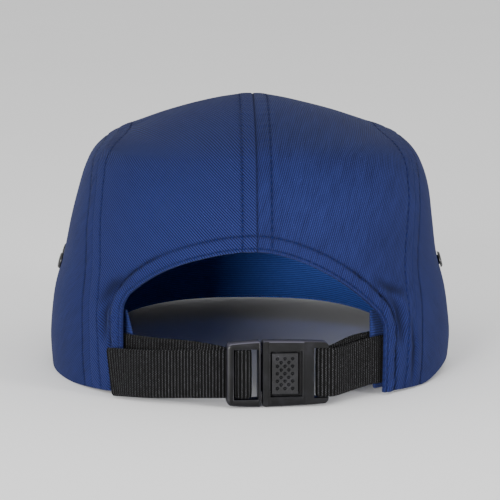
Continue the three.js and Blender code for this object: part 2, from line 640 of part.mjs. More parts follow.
// From the sewn end, behind the bars, round the centre bar and out again as the free tail.
function leftStrapRoute() {
  const wrapU = CENTRE_BAR_U - CLEARANCE - STRAP_THICKNESS / 2;
  const barMiddle = (BAR_BACK + BAR_FRONT) / 2;
  const underBar = BAR_BACK + STRAP_THICKNESS / 2;
  const edge = ARCH_HALF_WIDTH;
  return [
    crownStop(edge + STRAP_TUCK, POCKET_INSET, STRAP_RISE),
    crownStop(edge + STRAP_TUCK / 2, POCKET_INSET, STRAP_RISE),
    crownStop(edge, POCKET_INSET, STRAP_RISE),
    crownStop(edge * 0.75, POCKET_INSET - 0.3, STRAP_RISE * 0.95),
    crownStop(edge * 0.5, POCKET_INSET - 1, STRAP_RISE * 0.75),
    buckleStop(ADJUSTER_LENGTH + 3, BACK_LAYER, STRAP_RISE * 0.25),
    buckleStop(ADJUSTER_LENGTH - 2, BACK_LAYER),
    buckleStop(CENTRE_BAR_END, BACK_LAYER),
    buckleStop(CENTRE_BAR_U + 0.8, BACK_LAYER),
    buckleStop(wrapU + WRAP_CORNER, (BACK_LAYER + barMiddle) / 2 - WRAP_EASE),
    buckleStop(wrapU, barMiddle),
    buckleStop(wrapU + WRAP_CORNER, (FRONT_LAYER + barMiddle) / 2 + WRAP_EASE),
    buckleStop(CENTRE_BAR_U + 0.8, FRONT_LAYER),
    buckleStop(CENTRE_BAR_END - 0.5, FRONT_LAYER + 0.05),
    buckleStop((CENTRE_BAR_END + END_BAR_U) / 2, (FRONT_LAYER + underBar) / 2),
    buckleStop(END_BAR_U + 0.5, underBar),
    buckleStop(ADJUSTER_LENGTH + 1.5, underBar),
    crownStop(edge * 0.5, -TAIL_STANDOFF * 0.35, -TAIL_DROOP * 0.3),
    crownStop(edge * 0.8, -TAIL_STANDOFF * 0.7, -TAIL_DROOP * 0.65),
    crownStop(edge + TAIL_PAST_ARCH, -TAIL_STANDOFF, -TAIL_DROOP),
  ];
}

// Two legs, the outer one sewn between panel and band and the inner one behind the band's end.
function rightStrapRoute() {
  const wrapU = LOOP_BAR_U - CLEARANCE - STRAP_THICKNESS / 2;
  const barMiddle = (BAR_BACK + BAR_FRONT) / 2;
  const edge = ARCH_HALF_WIDTH;
  const bandEnd = edge - SWEATBAND_LEDGE;
  const behindBand = POCKET_INSET + 2 * STRAP_SLACK + STRAP_THICKNESS + SWEATBAND_THICKNESS + 2 * CLEARANCE;
  const sewnHigh = STRAP_RISE * 0.5;
  return [
    crownStop(-edge - STRAP_TUCK, POCKET_INSET, sewnHigh),
    crownStop(-edge - STRAP_TUCK / 2, POCKET_INSET, sewnHigh),
    crownStop(-edge, POCKET_INSET, sewnHigh),
    crownStop(-edge * 0.88, POCKET_INSET - 0.6, sewnHigh),
    crownStop(-edge * 0.74, POCKET_INSET - 2.6, sewnHigh * 0.6),
    buckleStop(-BODY_LENGTH - 2.5, FRONT_LAYER - 0.3, sewnHigh * 0.2),
    buckleStop(-LOOP_BAR_U - BAR_WIDTH, FRONT_LAYER),
    buckleStop(-LOOP_BAR_U - 0.8, FRONT_LAYER),
    buckleStop(-wrapU - WRAP_CORNER, (FRONT_LAYER + barMiddle) / 2 + WRAP_EASE),
    buckleStop(-wrapU, barMiddle),
    buckleStop(-wrapU - WRAP_CORNER, (BACK_LAYER + barMiddle) / 2 - WRAP_EASE),
    buckleStop(-LOOP_BAR_U - 0.8, BACK_LAYER),
    buckleStop(-LOOP_BAR_U - BAR_WIDTH, BACK_LAYER),
    crownStop(-edge * 0.74, POCKET_INSET + 0.9, sewnHigh + 0.4),
    crownStop(-bandEnd, behindBand, sewnHigh + 1),
    crownStop(-bandEnd - SWEATBAND_LEDGE, behindBand, sewnHigh + 1),
    crownStop(-bandEnd - 2 * SWEATBAND_LEDGE, behindBand, sewnHigh + 1),
  ];
}

// The cap

function piece(name, geometry, material) {
  const mesh = new THREE.Mesh(geometry, material);
  mesh.name = name;
  return mesh;
}

const crownGroup = new THREE.Group();
crownGroup.add(
  piece("front_panel", geometryOf(crown.intersect(frontRegion)), PALETTE.cloth),
  piece("left_back_panel", geometryOf(backPanel(1)), PALETTE.cloth),
  piece("right_back_panel", geometryOf(backPanel(-1)), PALETTE.cloth),
  piece("left_side_panel", geometryOf(sidePanel(1)), PALETTE.cloth),
  piece("right_side_panel", geometryOf(sidePanel(-1)), PALETTE.cloth),
);
for (const { name, seat } of EYELETS) {
  crownGroup.add(seatOn(piece(name, eyeletGeometry(), PALETTE.metal), seat));
}

const rimGroup = new THREE.Group();
rimGroup.add(
  piece("sweatband", geometryOf(sweatband()), PALETTE.band),
  piece("peak", peakGeometry(), PALETTE.cloth),
);

const closureGroup = new THREE.Group();
const buckleGroup = new THREE.Group();
buckleGroup.position.set(BUCKLE_JOINT_X, BUCKLE_Y, BUCKLE_MIDDLE_Z);
buckleGroup.rotation.z = BUCKLE_TURN;
buckleGroup.add(
  piece("buckle_adjuster", geometryOf(adjuster()), PALETTE.plastic),
  piece("buckle_body", geometryOf(body()), PALETTE.plastic),
  piece("release_button", releaseButton(), PALETTE.button),
);
closureGroup.add(
  buckleGroup,
  piece("strap_left", bentStrap(leftStrapRoute(), 4, TAIL_SLANT), PALETTE.webbing),
  piece("strap_right", bentStrap(rightStrapRoute(), 4), PALETTE.webbing),
);

// The origin is the middle of the cap's footprint, at the table.
const cap = new THREE.Group();
cap.add(crownGroup, rimGroup, closureGroup);
const box = new THREE.Box3().setFromObject(cap);
const middle = box.getCenter(new THREE.Vector3());
cap.position.set(-middle.x, -middle.y, -box.min.z);

export default cap;
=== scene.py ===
"""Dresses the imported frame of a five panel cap: cloth crown, peak, sweatband, webbing and buckle.

Sizes are in millimetres in the crown's own frame, its middle at the origin, until to_frame() sets them down.
"""

import logging
import math
from collections.abc import Callable, Sequence
from dataclasses import dataclass, field
from enum import Enum

import bmesh
import bpy
import numpy as np
from mathutils import Matrix, Vector


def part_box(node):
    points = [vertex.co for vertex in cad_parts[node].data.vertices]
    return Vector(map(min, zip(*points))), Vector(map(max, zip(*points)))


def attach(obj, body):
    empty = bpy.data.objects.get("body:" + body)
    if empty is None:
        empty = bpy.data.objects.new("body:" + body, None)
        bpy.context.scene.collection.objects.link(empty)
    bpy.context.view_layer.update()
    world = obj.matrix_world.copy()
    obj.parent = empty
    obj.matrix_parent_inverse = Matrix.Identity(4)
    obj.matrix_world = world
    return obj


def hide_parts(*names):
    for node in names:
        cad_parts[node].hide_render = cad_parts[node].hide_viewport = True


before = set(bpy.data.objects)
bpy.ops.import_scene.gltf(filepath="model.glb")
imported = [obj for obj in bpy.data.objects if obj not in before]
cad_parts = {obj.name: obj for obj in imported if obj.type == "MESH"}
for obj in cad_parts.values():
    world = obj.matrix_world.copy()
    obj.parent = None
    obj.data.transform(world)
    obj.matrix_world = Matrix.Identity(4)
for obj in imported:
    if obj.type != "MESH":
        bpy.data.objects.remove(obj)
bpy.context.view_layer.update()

LOG = logging.getLogger("cap")
MM = 0.001
PEAK_TO_MIDDLE = 171.0
CROWN_MIDDLE_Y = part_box("peak")[0].y / MM + PEAK_TO_MIDDLE
# How far the right side of the rim stands off the table, and the height at which that has faded out.
FOOT_LIFT = 4.0
FOOT_HEIGHT = 34.0
# The least height of the cloth above the table.
TABLE_GAP = 0.2
WEBBING_RIB = 1.35


class Side(Enum):
    """The wearer's left or right, as the sign of X."""

    LEFT = 1
    RIGHT = -1

    @property
    def word(self) -> str:
        """The side's word in the names of pieces."""
        return self.name.lower()


class Seam(Enum):
    """How a line on the crown is sewn."""

    CREASED = "two rows, one on each side of a drawn-in seam"
    PRESSED = "two rows, one on each side of a seam pressed flat"
    HEM = "a turned edge with two rows above it"


def to_frame(points: np.ndarray) -> np.ndarray:
    """Sets points of the crown's own frame down in the part's frame, in metres.

    Args:
        points: Rows of x, y, z in millimetres.

    Returns:
        The same rows in metres, the right side of the rim a little off the table as in the photograph.
    """
    x, y, z = points.T
    foot = smoothstep(-x, 70.0, 87.0) * smoothstep(y, -70.0, -20.0) * np.clip(1 - z / FOOT_HEIGHT, 0, 1) ** 2
    return (points + np.outer(foot, (0, 0, FOOT_LIFT)) + (0.0, CROWN_MIDDLE_Y, 0.0)) * MM


def smoothstep(value: np.ndarray, low: float, high: float) -> np.ndarray:
    """Rises smoothly from 0 at low to 1 at high.

    Args:
        value: Where to read it.
        low: Where it starts to rise.
        high: Where it ends.

    Returns:
        Shares from 0 to 1.
    """
    share = np.clip((value - low) / (high - low), 0.0, 1.0)
    return share * share * (3 - 2 * share)


def arc(middle: tuple[float, float], radius: float, turns: np.ndarray) -> list[tuple[float, float]]:
    """Points round a middle at the given turns."""
    return [(middle[0] + radius * math.cos(a), middle[1] + radius * math.sin(a)) for a in turns]


def catmull(values: Sequence[float], at: np.ndarray) -> np.ndarray:
    """Reads a smooth curve through evenly spaced values.

    Args:
        values: The values, one for each whole number.
        at: Where to read it, from 0 to the last whole number.

    Returns:
        One value for each place.
    """
    v = np.asarray(values, float)
    i = np.clip(np.floor(at).astype(int), 0, len(v) - 2)
    t = at - i
    before, after = v[np.maximum(i - 1, 0)], v[np.minimum(i + 2, len(v) - 1)]
    rise, fall = (v[i + 1] - before) / 2, (after - v[i]) / 2
    cubic = (2 * v[i] - 2 * v[i + 1] + rise + fall) * t**3
    return cubic + (-3 * v[i] + 3 * v[i + 1] - 2 * rise - fall) * t**2 + rise * t + v[i]


def ripple(along: np.ndarray, period: float, seed: int) -> np.ndarray:
    """An uneven wave from -1 to 1, such as the puckers of a sewn seam.

    Args:
        along: Places along the seam.
        period: The usual length of one wave.
        seed: Which uneven wave.

    Returns:
        One height for each place.
    """
    rng = np.random.default_rng(seed)
    total = np.zeros_like(along)
    for share, weight in ((1.0, 0.5), (0.63, 0.3), (1.71, 0.2)):
        drift = 0.8 * np.sin(along / (period * 3.1) + rng.uniform(0, 6.28))
        total += weight * np.sin(2 * math.pi * along / (period * share) + drift + rng.uniform(0, 6.28))
    return total


# The crown's form


@dataclass(frozen=True)
class Section:
    """One level section of the crown, in shares of its height and of its reach each way."""

    height: float
    side: float
    front: float
    back: float
    lean: float
    square: float


SECTIONS = (
    Section(0.0, 0.994, 0.992, 0.994, 0.0, 2.12),
    Section(0.1, 1.0, 1.0, 1.0, 0.0, 2.13),
    Section(0.2, 0.99, 1.0, 0.998, 0.0, 2.15),
    Section(0.3, 0.971, 0.99, 0.98, 0.0, 2.2),
    Section(0.42, 0.93, 0.97, 0.955, 0.0, 2.25),
    Section(0.55, 0.901, 0.945, 0.92, -0.006, 2.3),
    Section(0.66, 0.872, 0.915, 0.875, -0.016, 2.35),
    Section(0.74, 0.84, 0.885, 0.825, -0.018, 2.4),
    Section(0.8, 0.796, 0.85, 0.77, -0.018, 2.42),
    Section(0.845, 0.715, 0.79, 0.705, -0.018, 2.38),
    Section(0.885, 0.58, 0.69, 0.605, -0.015, 2.28),
    Section(0.925, 0.435, 0.55, 0.47, -0.01, 2.15),
    Section(0.96, 0.28, 0.385, 0.32, 0.0, 2.05),
    Section(0.985, 0.145, 0.205, 0.165, 0.0, 2.0),
    Section(1.0, 0.0, 0.0, 0.0, 0.0, 2.0),
)
# Height and reach of the side panel's edge and of the front panel's edge, seen from the side.
SIDE_SEAM = (
    (-0.2, 0.675),
    (0.0, 0.672),
    (0.2, 0.663),
    (0.45, 0.6),
    (0.66, 0.5),
    (0.74, 0.436),
    (0.805, 0.33),
    (0.845, 0.17),
    (0.857, -0.03),
    (0.85, -0.25),
    (0.82, -0.47),
    (0.76, -0.7),
    (0.68, -0.9),
)
FRONT_SEAM = ((-0.2, 0.49), (0.0, 0.5), (0.35, 0.57), (0.7, 0.64), (0.9, 0.68), (1.2, 0.68))


@dataclass(frozen=True)
class CrownSize:
    """The crown's driving sizes."""

    half_width: float = 88.0
    reach: float = 103.0
    height: float = 118.0
    seam_x: float = -1.4
    cloth: float = 1.5
    peak_arch: float = 10.0
    peak_corner: float = 0.44
    back_lift: float = 1.2
    arch_half_width: float = 54.0
    arch_height: float = 62.0
    arch_radius: float = 72.0
    arch_corner: float = 13.0
    arch_rise: float = 2.0
    arch_sag: float = 0.138
    eyelet_hole: float = 2.45


class CrownForm:
    """The smooth outer face of the crown, as a field that lines and cloth are laid on."""

    middle = np.array([0.0, 0.0, 38.0])

    def __init__(self, size: CrownSize) -> None:
        """Reads the section table once, finely.

        Args:
            size: The crown's sizes.
        """
        self.size = size
        self.rows = np.linspace(0, len(SECTIONS) - 1, 1401)
        names = ("height", "side", "front", "back", "lean", "square")
        self.dense = {n: catmull([getattr(s, n) for s in SECTIONS], self.rows) for n in names}

    def read(self, name: str, row: np.ndarray) -> np.ndarray:
        """One column of the section table at rows that need not be whole."""
        return np.interp(row, self.rows, self.dense[name])

    def row_at(self, share: np.ndarray) -> np.ndarray:
        """The rows that lie at shares of the crown's height."""
        return np.interp(share, self.dense["height"], self.rows)

    def rim_lift(self, y: np.ndarray) -> np.ndarray:
        """How far the rim rises above the table.

        Args:
            y: Places along the cap.

        Returns:
            The rise at each.
        """
        size = self.size
        front = smoothstep(-y, size.peak_corner * size.reach, size.reach)
        back = smoothstep(y / size.reach, 0.45, 0.8)
        return size.peak_arch * front + size.back_lift * back

    def point(self, angle: np.ndarray, row: np.ndarray, inset: np.ndarray | float = 0.0) -> np.ndarray:
        """Points of the crown at angles round it, 0 at +X and a quarter turn at +Y.

        Args:
            angle: Angles round the crown.
            row: Rows of the section table, one for each angle.
            inset: How far inside the outer face.

        Returns:
            Rows of x, y, z.
        """
        size = self.size
        power = 2 / self.read("square", row)
        across = np.sign(np.cos(angle)) * np.abs(np.cos(angle)) ** power
        along = np.sign(np.sin(angle)) * np.abs(np.sin(angle)) ** power
        reach = np.where(along > 0, self.read("back", row), self.read("front", row)) * (size.reach - inset)
        share = self.read("height", row)
        width = self.read("side", row) * (size.half_width - inset)
        x = across * width + self.read("lean", row) * size.half_width
        z = share * (size.height - inset) + self.rim_lift(along * size.reach) * (1 - share) ** 2
        return np.stack([x, along * reach, z], 1)

    def outside(self, points: np.ndarray) -> np.ndarray:
        """Tells which side of the crown's face points lie on.

        Args:
            points: Rows of x, y, z.

        Returns:
            Numbers above 0 outside the face and below 0 inside it.
        """
        size = self.size
        x, y, z = points.T
        share = z / size.height
        for _ in range(3):
            row = self.row_at(np.clip(share, 0, 1))
            reach = np.where(y > 0, self.read("back", row), self.read("front", row)) * size.reach
            along = np.abs(y) / np.maximum(reach, 1e-3)
            rim = np.maximum(self.rim_lift(np.sign(y) * along * size.reach), 1e-6)
            slope = size.height - 2 * rim
            share = (np.sqrt(slope**2 - 4 * rim * (rim - z)) - slope) / (2 * rim)
        width = np.maximum(self.read("side", row) * size.half_width, 1e-3)
        across = np.abs(x - self.read("lean", row) * size.half_width) / width
        square = self.read("square", row)
        return across**square + along**square - 1 + 1000 * np.maximum(share - 1, 0)

    def hit(self, place: Callable[[np.ndarray], np.ndarray], count: int, far: float = 260.0) -> np.ndarray:
        """Follows paths outwards from inside the crown to its face.

        Args:
            place: Gives the points of the paths at a distance along each.
            count: How many paths.
            far: A distance that is outside for all.

        Returns:
            The points where the paths leave the crown.
        """
        low, high = np.zeros(count), np.full(count, far)
        for _ in range(32):
            half = (low + high) / 2
            out = self.outside(place(half)) > 0
            high, low = np.where(out, half, high), np.where(out, low, half)
        return place(low)

    def lay(self, points: np.ndarray) -> np.ndarray:
        """Moves points straight away from the crown's middle until they lie on its face.

        Args:
            points: Rows of x, y, z.

        Returns:
            The moved rows.
        """
        way = points - self.middle
        way /= np.linalg.norm(way, axis=1, keepdims=True)
        return self.hit(lambda far: self.middle + way * far[:, None], len(points))

    def normal(self, points: np.ndarray) -> np.ndarray:
        """The directions straight out of the face.

        Args:
            points: Points on the face.

        Returns:
            Rows of length 1.
        """
        step = 0.4
        parts = []
        for axis in np.eye(3) * step:
            parts.append(self.outside(points + axis) - self.outside(points - axis))
        out = np.stack(parts, 1)
        return out / np.maximum(np.linalg.norm(out, axis=1, keepdims=True), 1e-12)


class Line:
    """A line drawn on a piece, read by its length."""

    def __init__(self, points: np.ndarray) -> None:
        """Takes the points that it runs through.

        Args:
            points: The points, in order.
        """
        self.points = np.asarray(points, float)
        steps = np.linalg.norm(np.diff(self.points, axis=0), axis=1)
        self.along = np.concatenate([[0.0], np.cumsum(steps)])
        self.length = float(self.along[-1])

    def at(self, share: np.ndarray) -> np.ndarray:
        """Points at shares of its length."""
        place = np.asarray(share) * self.length
        return np.stack([np.interp(place, self.along, c) for c in self.points.T], 1)

    def even(self, step: float) -> "Line":
        """The same line with its points about a step apart."""
        return Line(self.at(np.linspace(0, 1, max(2, math.ceil(self.length / step) + 1))))

    def back(self) -> "Line":
        """The same line run the other way."""
        return Line(self.points[::-1])

    def part(self, start: float, end: float) -> "Line":
        """A stretch of it, between two shares of its length."""
        count = max(3, math.ceil(abs(end - start) * self.length / 0.8))
        return Line(self.at(np.linspace(start, end, count)))

    def tangent(self) -> np.ndarray:
        """Its direction at each of its points."""
        way = np.gradient(self.points, axis=0)
        return way / np.maximum(np.linalg.norm(way, axis=1, keepdims=True), 1e-9)

    def offset(self, form: CrownForm, distance: float) -> "Line":
        """A line beside it on the crown, to its left as seen from outside where distance is above 0."""
        aside = np.cross(form.normal(self.points), self.tangent())
        return Line(form.lay(self.points + aside * distance))

    def measure(self, points: np.ndarray) -> tuple[np.ndarray, np.ndarray, np.ndarray]:
        """Finds where points lie beside it.

        Args:
            points: Rows of x, y, z.

        Returns:
            Each point's distance, how far along the line it is, and the nearest point on the line.
        """
        near = np.empty(len(points), int)
        for start in range(0, len(points), 4000):
            gap = points[start : start + 4000, None] - self.points[None]
            near[start : start + 4000] = np.argmin((gap**2).sum(2), 1)
        best = np.full(len(points), np.inf)
        along, nearest = np.zeros(len(points)), np.zeros((len(points), 3))
        for shift in (-1, 0):
            i = np.clip(near + shift, 0, len(self.points) - 2)
            start, way = self.points[i], self.points[i + 1] - self.points[i]
            share = ((points - start) * way).sum(1) / np.maximum((way**2).sum(1), 1e-12)
            share = np.clip(share, 0, 1)
            spot = start + way * share[:, None]
            gap = np.linalg.norm(points - spot, axis=1)
            closer = gap < best
            best = np.where(closer, gap, best)
            along = np.where(closer, self.along[i] + share * (self.along[i + 1] - self.along[i]), along)
            nearest = np.where(closer[:, None], spot, nearest)
        return best, along, nearest


@dataclass(frozen=True)
class Sewn:
    """A sewn line on the crown and how the cloth lies beside it.

    The row and the edge row are how far from the line its stitches run, and beyond is a point in the
    panel on whose side of a pressed seam the row shows most.
    """

    line: Line
    seam: Seam
    seed: int
    to_arch: bool = False
    row: float = 6.0
    edge_row: float = 1.3
    beyond: tuple[float, float, float] = (0.0, 0.0, 0.0)

    def relief(self, points: np.ndarray) -> tuple[np.ndarray, np.ndarray]:
        """How the cloth stands beside the line, and the shade painted into its creases and stitch grooves.

        Args:
            points: Points on the crown's face.

        Returns:
            Heights above the face, and painted shades from 0 to 1.
        """
        gap, along, nearest = self.line.measure(points)
        if self.seam is not Seam.HEM:
            creased = self.seam is Seam.CREASED
            far_side = ((points - nearest) * (np.array(self.beyond) - nearest)).sum(1) > 0
            mark = np.full(len(points), 0.5) if creased else np.where(far_side, 1.0, 0.4)
            groove = np.exp(-(((gap - self.row) / (0.62 - 0.08 * (mark > 0.9))) ** 2)) * mark
            crease = np.exp(-((gap / 0.36) ** 2)) * (0.72 if creased else 0.2)
            raised = 1 - smoothstep(gap, self.row - 0.3, self.row + 1.4)
            beside = smoothstep(gap, 0.4, 2.2) * (1 - smoothstep(gap, self.row + 0.5, self.row + 3.5))
            pucker = ripple(along + 0.6 * gap, 7.0, self.seed) * beside
            height = (0.24 if creased else 0.14) * raised - 0.6 * crease - 0.45 * groove + 0.15 * pucker
            # Painted shade along the crease and the stitch rows.
            return height, np.clip(0.9 * crease + 0.95 * groove, 0, 1)
        groove = np.exp(-(((gap - self.row) / 0.55) ** 2))
        edge = np.exp(-(((gap - self.edge_row) / 0.45) ** 2))
        raised = 1 - smoothstep(gap, self.row - 0.2, self.row + 1.6)
        beside = smoothstep(gap, 0.2, 2.4) * (1 - smoothstep(gap, self.row + 0.2, self.row + 4.0))
        pucker = ripple(along - 1.1 * gap, 6.2, self.seed) * beside
        bend = smoothstep(np.abs(points[:, 0]), 34.0, 50.0)
        gathered = bend * smoothstep(ripple(along, 21.0, 5), -0.9, 0.2)
        fold = np.exp(-((gap - self.row - 0.5) ** 2)) * gathered
        height = 0.45 * raised - 0.22 * edge - 0.35 * groove + (0.22 + 0.26 * bend) * pucker - 1.15 * fold
        # Painted shade along the turned edge, the stitch row and the gathered folds.
        return height, np.clip(0.5 * edge + (0.6 + 0.3 * bend) * groove + 0.6 * fold, 0, 1)


@dataclass(frozen=True)
class Fold:
    """A fold drawn into the cloth near the back opening, as x and z of its stops seen from behind."""

    stops: tuple[tuple[float, float], ...]
    depth: float
    width: float

    def relief(self, points: np.ndarray) -> tuple[np.ndarray, np.ndarray]:
        """How deep the cloth sinks along the fold, and the shade painted into its hollow.

        Args:
            points: Points on the crown's face.

        Returns:
            Heights above the face, and painted shades from 0 to 1.
        """
        seen = points * (1, 0, 1)
        line = Line([(x, 0.0, z) for x, z in self.stops]).even(0.8)
        gap, along, _ = line.measure(seen)
        fade = np.sin(math.pi * np.clip(along / line.length, 0.02, 0.98)) ** 0.6
        hollow = np.exp(-((gap / self.width) ** 2)) * fade * (points[:, 1] > 0)
        ridge = np.exp(-(((gap - 2.2 * self.width) / self.width) ** 2)) * fade * (points[:, 1] > 0)
        # Painted shade in the hollow.
        return self.depth * (0.3 * ridge - hollow), 0.8 * hollow


FOLDS = (
    Fold(((-56.0, 42.0), (-60.0, 35.5), (-61.6, 28.0), (-62.0, 20.0)), 1.5, 1.5),
    Fold(((-66.0, 30.0), (-67.2, 18.0), (-66.6, 3.0)), 0.75, 0.9),
    Fold(((-51.0, 48.0), (-57.5, 43.5), (-64.0, 41.0)), 0.8, 1.8),
    Fold(((58.5, 41.5), (61.4, 34.0), (61.6, 22.0)), 1.3, 1.2),
    Fold(((51.0, 49.5), (57.5, 46.0), (63.5, 37.0)), 0.8, 2.0),
)


# Shaders


class Sock:
    """A shader value that can be written into expressions."""

    def __init__(self, nodes: "Nodes", socket: bpy.types.NodeSocket) -> None:
        """Wraps one output socket."""
        self.nodes = nodes
        self.socket = socket

    def math(self, operation: str, *values: "Sock | float") -> "Sock":
        """One Math node on this value and up to two more."""
        inputs = dict(enumerate((self, *values)))
        return self.nodes.node("ShaderNodeMath", {"operation": operation}, inputs)

    def __add__(self, other: "Sock | float") -> "Sock":
        """The sum."""
        return self.math("ADD", other)

    __radd__ = __add__

    def __sub__(self, other: "Sock | float") -> "Sock":
        """The difference."""
        return self.math("SUBTRACT", other)

    def __rsub__(self, other: float) -> "Sock":
        """A number less this value."""
        return self.math("MULTIPLY", -1.0).math("ADD", other)

    def __mul__(self, other: "Sock | float") -> "Sock":
        """The product."""
        return self.math("MULTIPLY", other)

    __rmul__ = __mul__

    def __truediv__(self, other: "Sock | float") -> "Sock":
        """The quotient."""
        return self.math("DIVIDE", other)

    def __pow__(self, other: float) -> "Sock":
        """The power."""
        return self.math("POWER", other)

    def fraction(self) -> "Sock":
        """What is left above the whole number below."""
        return self.math("FRACT")

    def whole(self) -> "Sock":
        """The whole number below."""
        return self.math("FLOOR")

    def size(self) -> "Sock":
        """The value without its sign."""
        return self.math("ABSOLUTE")

    def hump(self, power: float = 2.0) -> "Sock":
        """From 0 at each whole number to 1 half way to the next."""
        return 1 - (self.fraction() * 2 - 1).size() ** power

    def between(self, low: float, high: float) -> "Sock":
        """Rises smoothly from 0 at low to 1 at high."""
        settings = {"interpolation_type": "SMOOTHSTEP"}
        return self.nodes.node("ShaderNodeMapRange", settings, {0: self, 1: low, 2: high})


Value = Sock | float | tuple[float, ...]


class Nodes:
    """The node tree of one material."""

    def __init__(self, name: str) -> None:
        """Starts a material with a bare surface shader.

        Args:
            name: The material's name.
        """
        self.material = bpy.data.materials.new(name)
        self.material.use_nodes = True
        self.tree = self.material.node_tree
        self.shader = self.tree.nodes["Principled BSDF"]

    def node(self, kind: str, settings: dict, inputs: dict, output: int | str = 0) -> Sock:
        """Adds a node.

        Args:
            kind: The node's type.
            settings: Its settings, set first.
            inputs: Values or links of its sockets, by name or number.
            output: Which of its outputs is wanted.

        Returns:
            That output.
        """
        made = self.tree.nodes.new(kind)
        for name, value in settings.items():
            setattr(made, name, value)
        for name, value in inputs.items():
            self.set(made.inputs[name], value)
        return Sock(self, made.outputs[output])

    def set(self, socket: bpy.types.NodeSocket, value: Value) -> None:
        """Links or sets one input socket.

        Args:
            socket: The socket.
            value: A link, or its value.
        """
        if isinstance(value, Sock):
            self.tree.links.new(value.socket, socket)
        else:
            socket.default_value = value

    def surface(self, **inputs: Value) -> bpy.types.Material:
        """Sets the shader's sockets.

        Args:
            **inputs: Values or links by the sockets' names, with _ for a space.

        Returns:
            The finished material.
        """
        for name, value in inputs.items():
            self.set(self.shader.inputs[name.replace("_", " ")], value)
        return self.material

    def cloth(self) -> Sock:
        """The piece's own cloth coordinates, in metres."""
        return self.node("ShaderNodeUVMap", {"uv_map": "weave"}, {})

    def weave(self) -> tuple[Sock, Sock]:
        """The cloth coordinates one by one, in millimetres.

        Returns:
            Across the cloth, and along it.
        """
        u = self.node("ShaderNodeSeparateXYZ", {}, {0: self.cloth()}, 0)
        v = Sock(self, u.socket.node.outputs[1])
        return u / MM, v / MM

    def place(self) -> Sock:
        """Object coordinates."""
        return self.node("ShaderNodeTexCoord", {}, {}, "Object")

    def attribute(self, name: str) -> Sock:
        """A number that the mesh carries."""
        return self.node("ShaderNodeAttribute", {"attribute_name": name}, {}, "Fac")

    def threads(self, across: float, along: float, detail: float) -> Sock:
        """A noise drawn out along the cloth's threads."""
        inputs = {"Vector": self.cloth(), "Scale": (across, along, 1.0)}
        return self.noise(self.node("ShaderNodeMapping", {}, inputs), 1.0, detail)

    def noise(self, vector: Sock, scale: float, detail: float = 2.0, rough: float = 0.5) -> Sock:
        """A noise from 0 to 1."""
        inputs = {"Vector": vector, "Scale": scale, "Detail": detail, "Roughness": rough}
        return self.node("ShaderNodeTexNoise", {"noise_dimensions": "3D"}, inputs)

    def blend(self, share: Value, first: Value, second: Value) -> Sock:
        """Mixes two colours."""
        settings = {"data_type": "RGBA", "blend_type": "MIX", "clamp_factor": True}
        return self.node("ShaderNodeMix", settings, {0: share, 6: first, 7: second}, 2)

    def bump(self, height: Sock, distance: float, strength: float = 1.0) -> Sock:
        """A Bump node over a height."""
        inputs = {"Height": height, "Distance": distance, "Strength": strength}
        return self.node("ShaderNodeBump", {}, inputs)


def rgba(red: float, green: float, blue: float) -> tuple[float, ...]:
    """A linear colour from three numbers of 0 to 255 as a screen shows them."""
    linear = [((c / 255 + 0.055) / 1.055) ** 2.4 if c > 10 else c / 255 / 12.92 for c in (red, green, blue)]
    return (*linear, 1.0)


@dataclass(frozen=True)
class Twill:
    """Cotton twill: slanting wales of staggered floats, with slubs, and painted shade in seam creases,
    stitch grooves and folds.
    """

    name: str = "blue_twill"
    dark: tuple[float, float, float] = (1, 2, 20)
    light: tuple[float, float, float] = (27, 35, 79)
    # The colour towards which painted shade darkens the cloth in creases, grooves and folds.
    shaded: tuple[float, float, float] = (2, 4, 20)
    wale: float = 0.84
    floats: float = 1.25
    depth: float = 0.5

    def build(self) -> bpy.types.Material:
        """Makes the material.

        Returns:
            The material.
        """
        n = Nodes(self.name)
        u, v = n.weave()
        drift = n.noise(n.cloth(), 36.0, 1.0) * 0.9
        wale = u / self.wale + drift
        row = wale.whole()
        step = v / self.floats + row * 0.37
        yarn = wale.hump(2.2) * (0.72 + step.hump(2.6) * 0.28)
        yarn = (yarn - 0.55) * self.depth + 0.55
        streaks = n.threads(900.0, 120.0, 2.0)
        slubs = n.threads(210.0, 60.0, 3.0)
        cloudy = n.noise(n.place(), 28.0, 2.0)
        uneven = (streaks - 0.5) * 0.28 + (slubs - 0.5) * 0.18 + (cloudy - 0.5) * 0.14
        tone = yarn * 0.92 + uneven - 0.08
        cloth = n.blend(tone.between(0.0, 0.85), rgba(*self.dark), rgba(*self.light))
        # Painted shade: the mesh's shade attribute darkens the cloth in seam creases, stitch grooves and
        # fold hollows.
        colour = n.blend(n.attribute("shade") * 0.9, cloth, rgba(*self.shaded))
        fuzz = n.noise(n.place(), 2600.0, 1.0)
        height = yarn + fuzz * 0.25 + streaks * 0.5
        return n.surface(
            Base_Color=colour,
            Roughness=0.86,
            Normal=n.bump(height, 0.00016, 0.8),
            Sheen_Weight=0.025,
            Sheen_Roughness=0.45,
            Sheen_Tint=(0.5, 0.6, 1.0, 1.0),
            Specular_IOR_Level=0.08,
        )


@dataclass(frozen=True)
class Tape:
    """Ribbed cotton tape of the sweatband, its ribs along the band."""

    name: str = "ribbed_tape"
    dark: tuple[float, float, float] = (1, 4, 32)
    light: tuple[float, float, float] = (23, 34, 80)
    rib: float = 1.1

    def build(self) -> bpy.types.Material:
        """Makes the material.

        Returns:
            The material.
        """
        n = Nodes(self.name)
        u, v = n.weave()
        rib = (v / self.rib).hump(2.4)
        pick = (u / 0.7 + (v / self.rib).whole() * 0.5).hump(2.0)
        grain = n.noise(n.place(), 900.0, 2.0)
        tone = rib * 0.6 + pick * 0.2 + grain * 0.25
        colour = n.blend(tone.between(0.05, 0.95), rgba(*self.dark), rgba(*self.light))
        bump = n.bump(rib + pick * 0.3 + grain * 0.2, 0.0003, 0.8)
        return n.surface(
            Base_Color=colour, Roughness=0.85, Normal=bump, Sheen_Weight=0.04, Specular_IOR_Level=0.12
        )


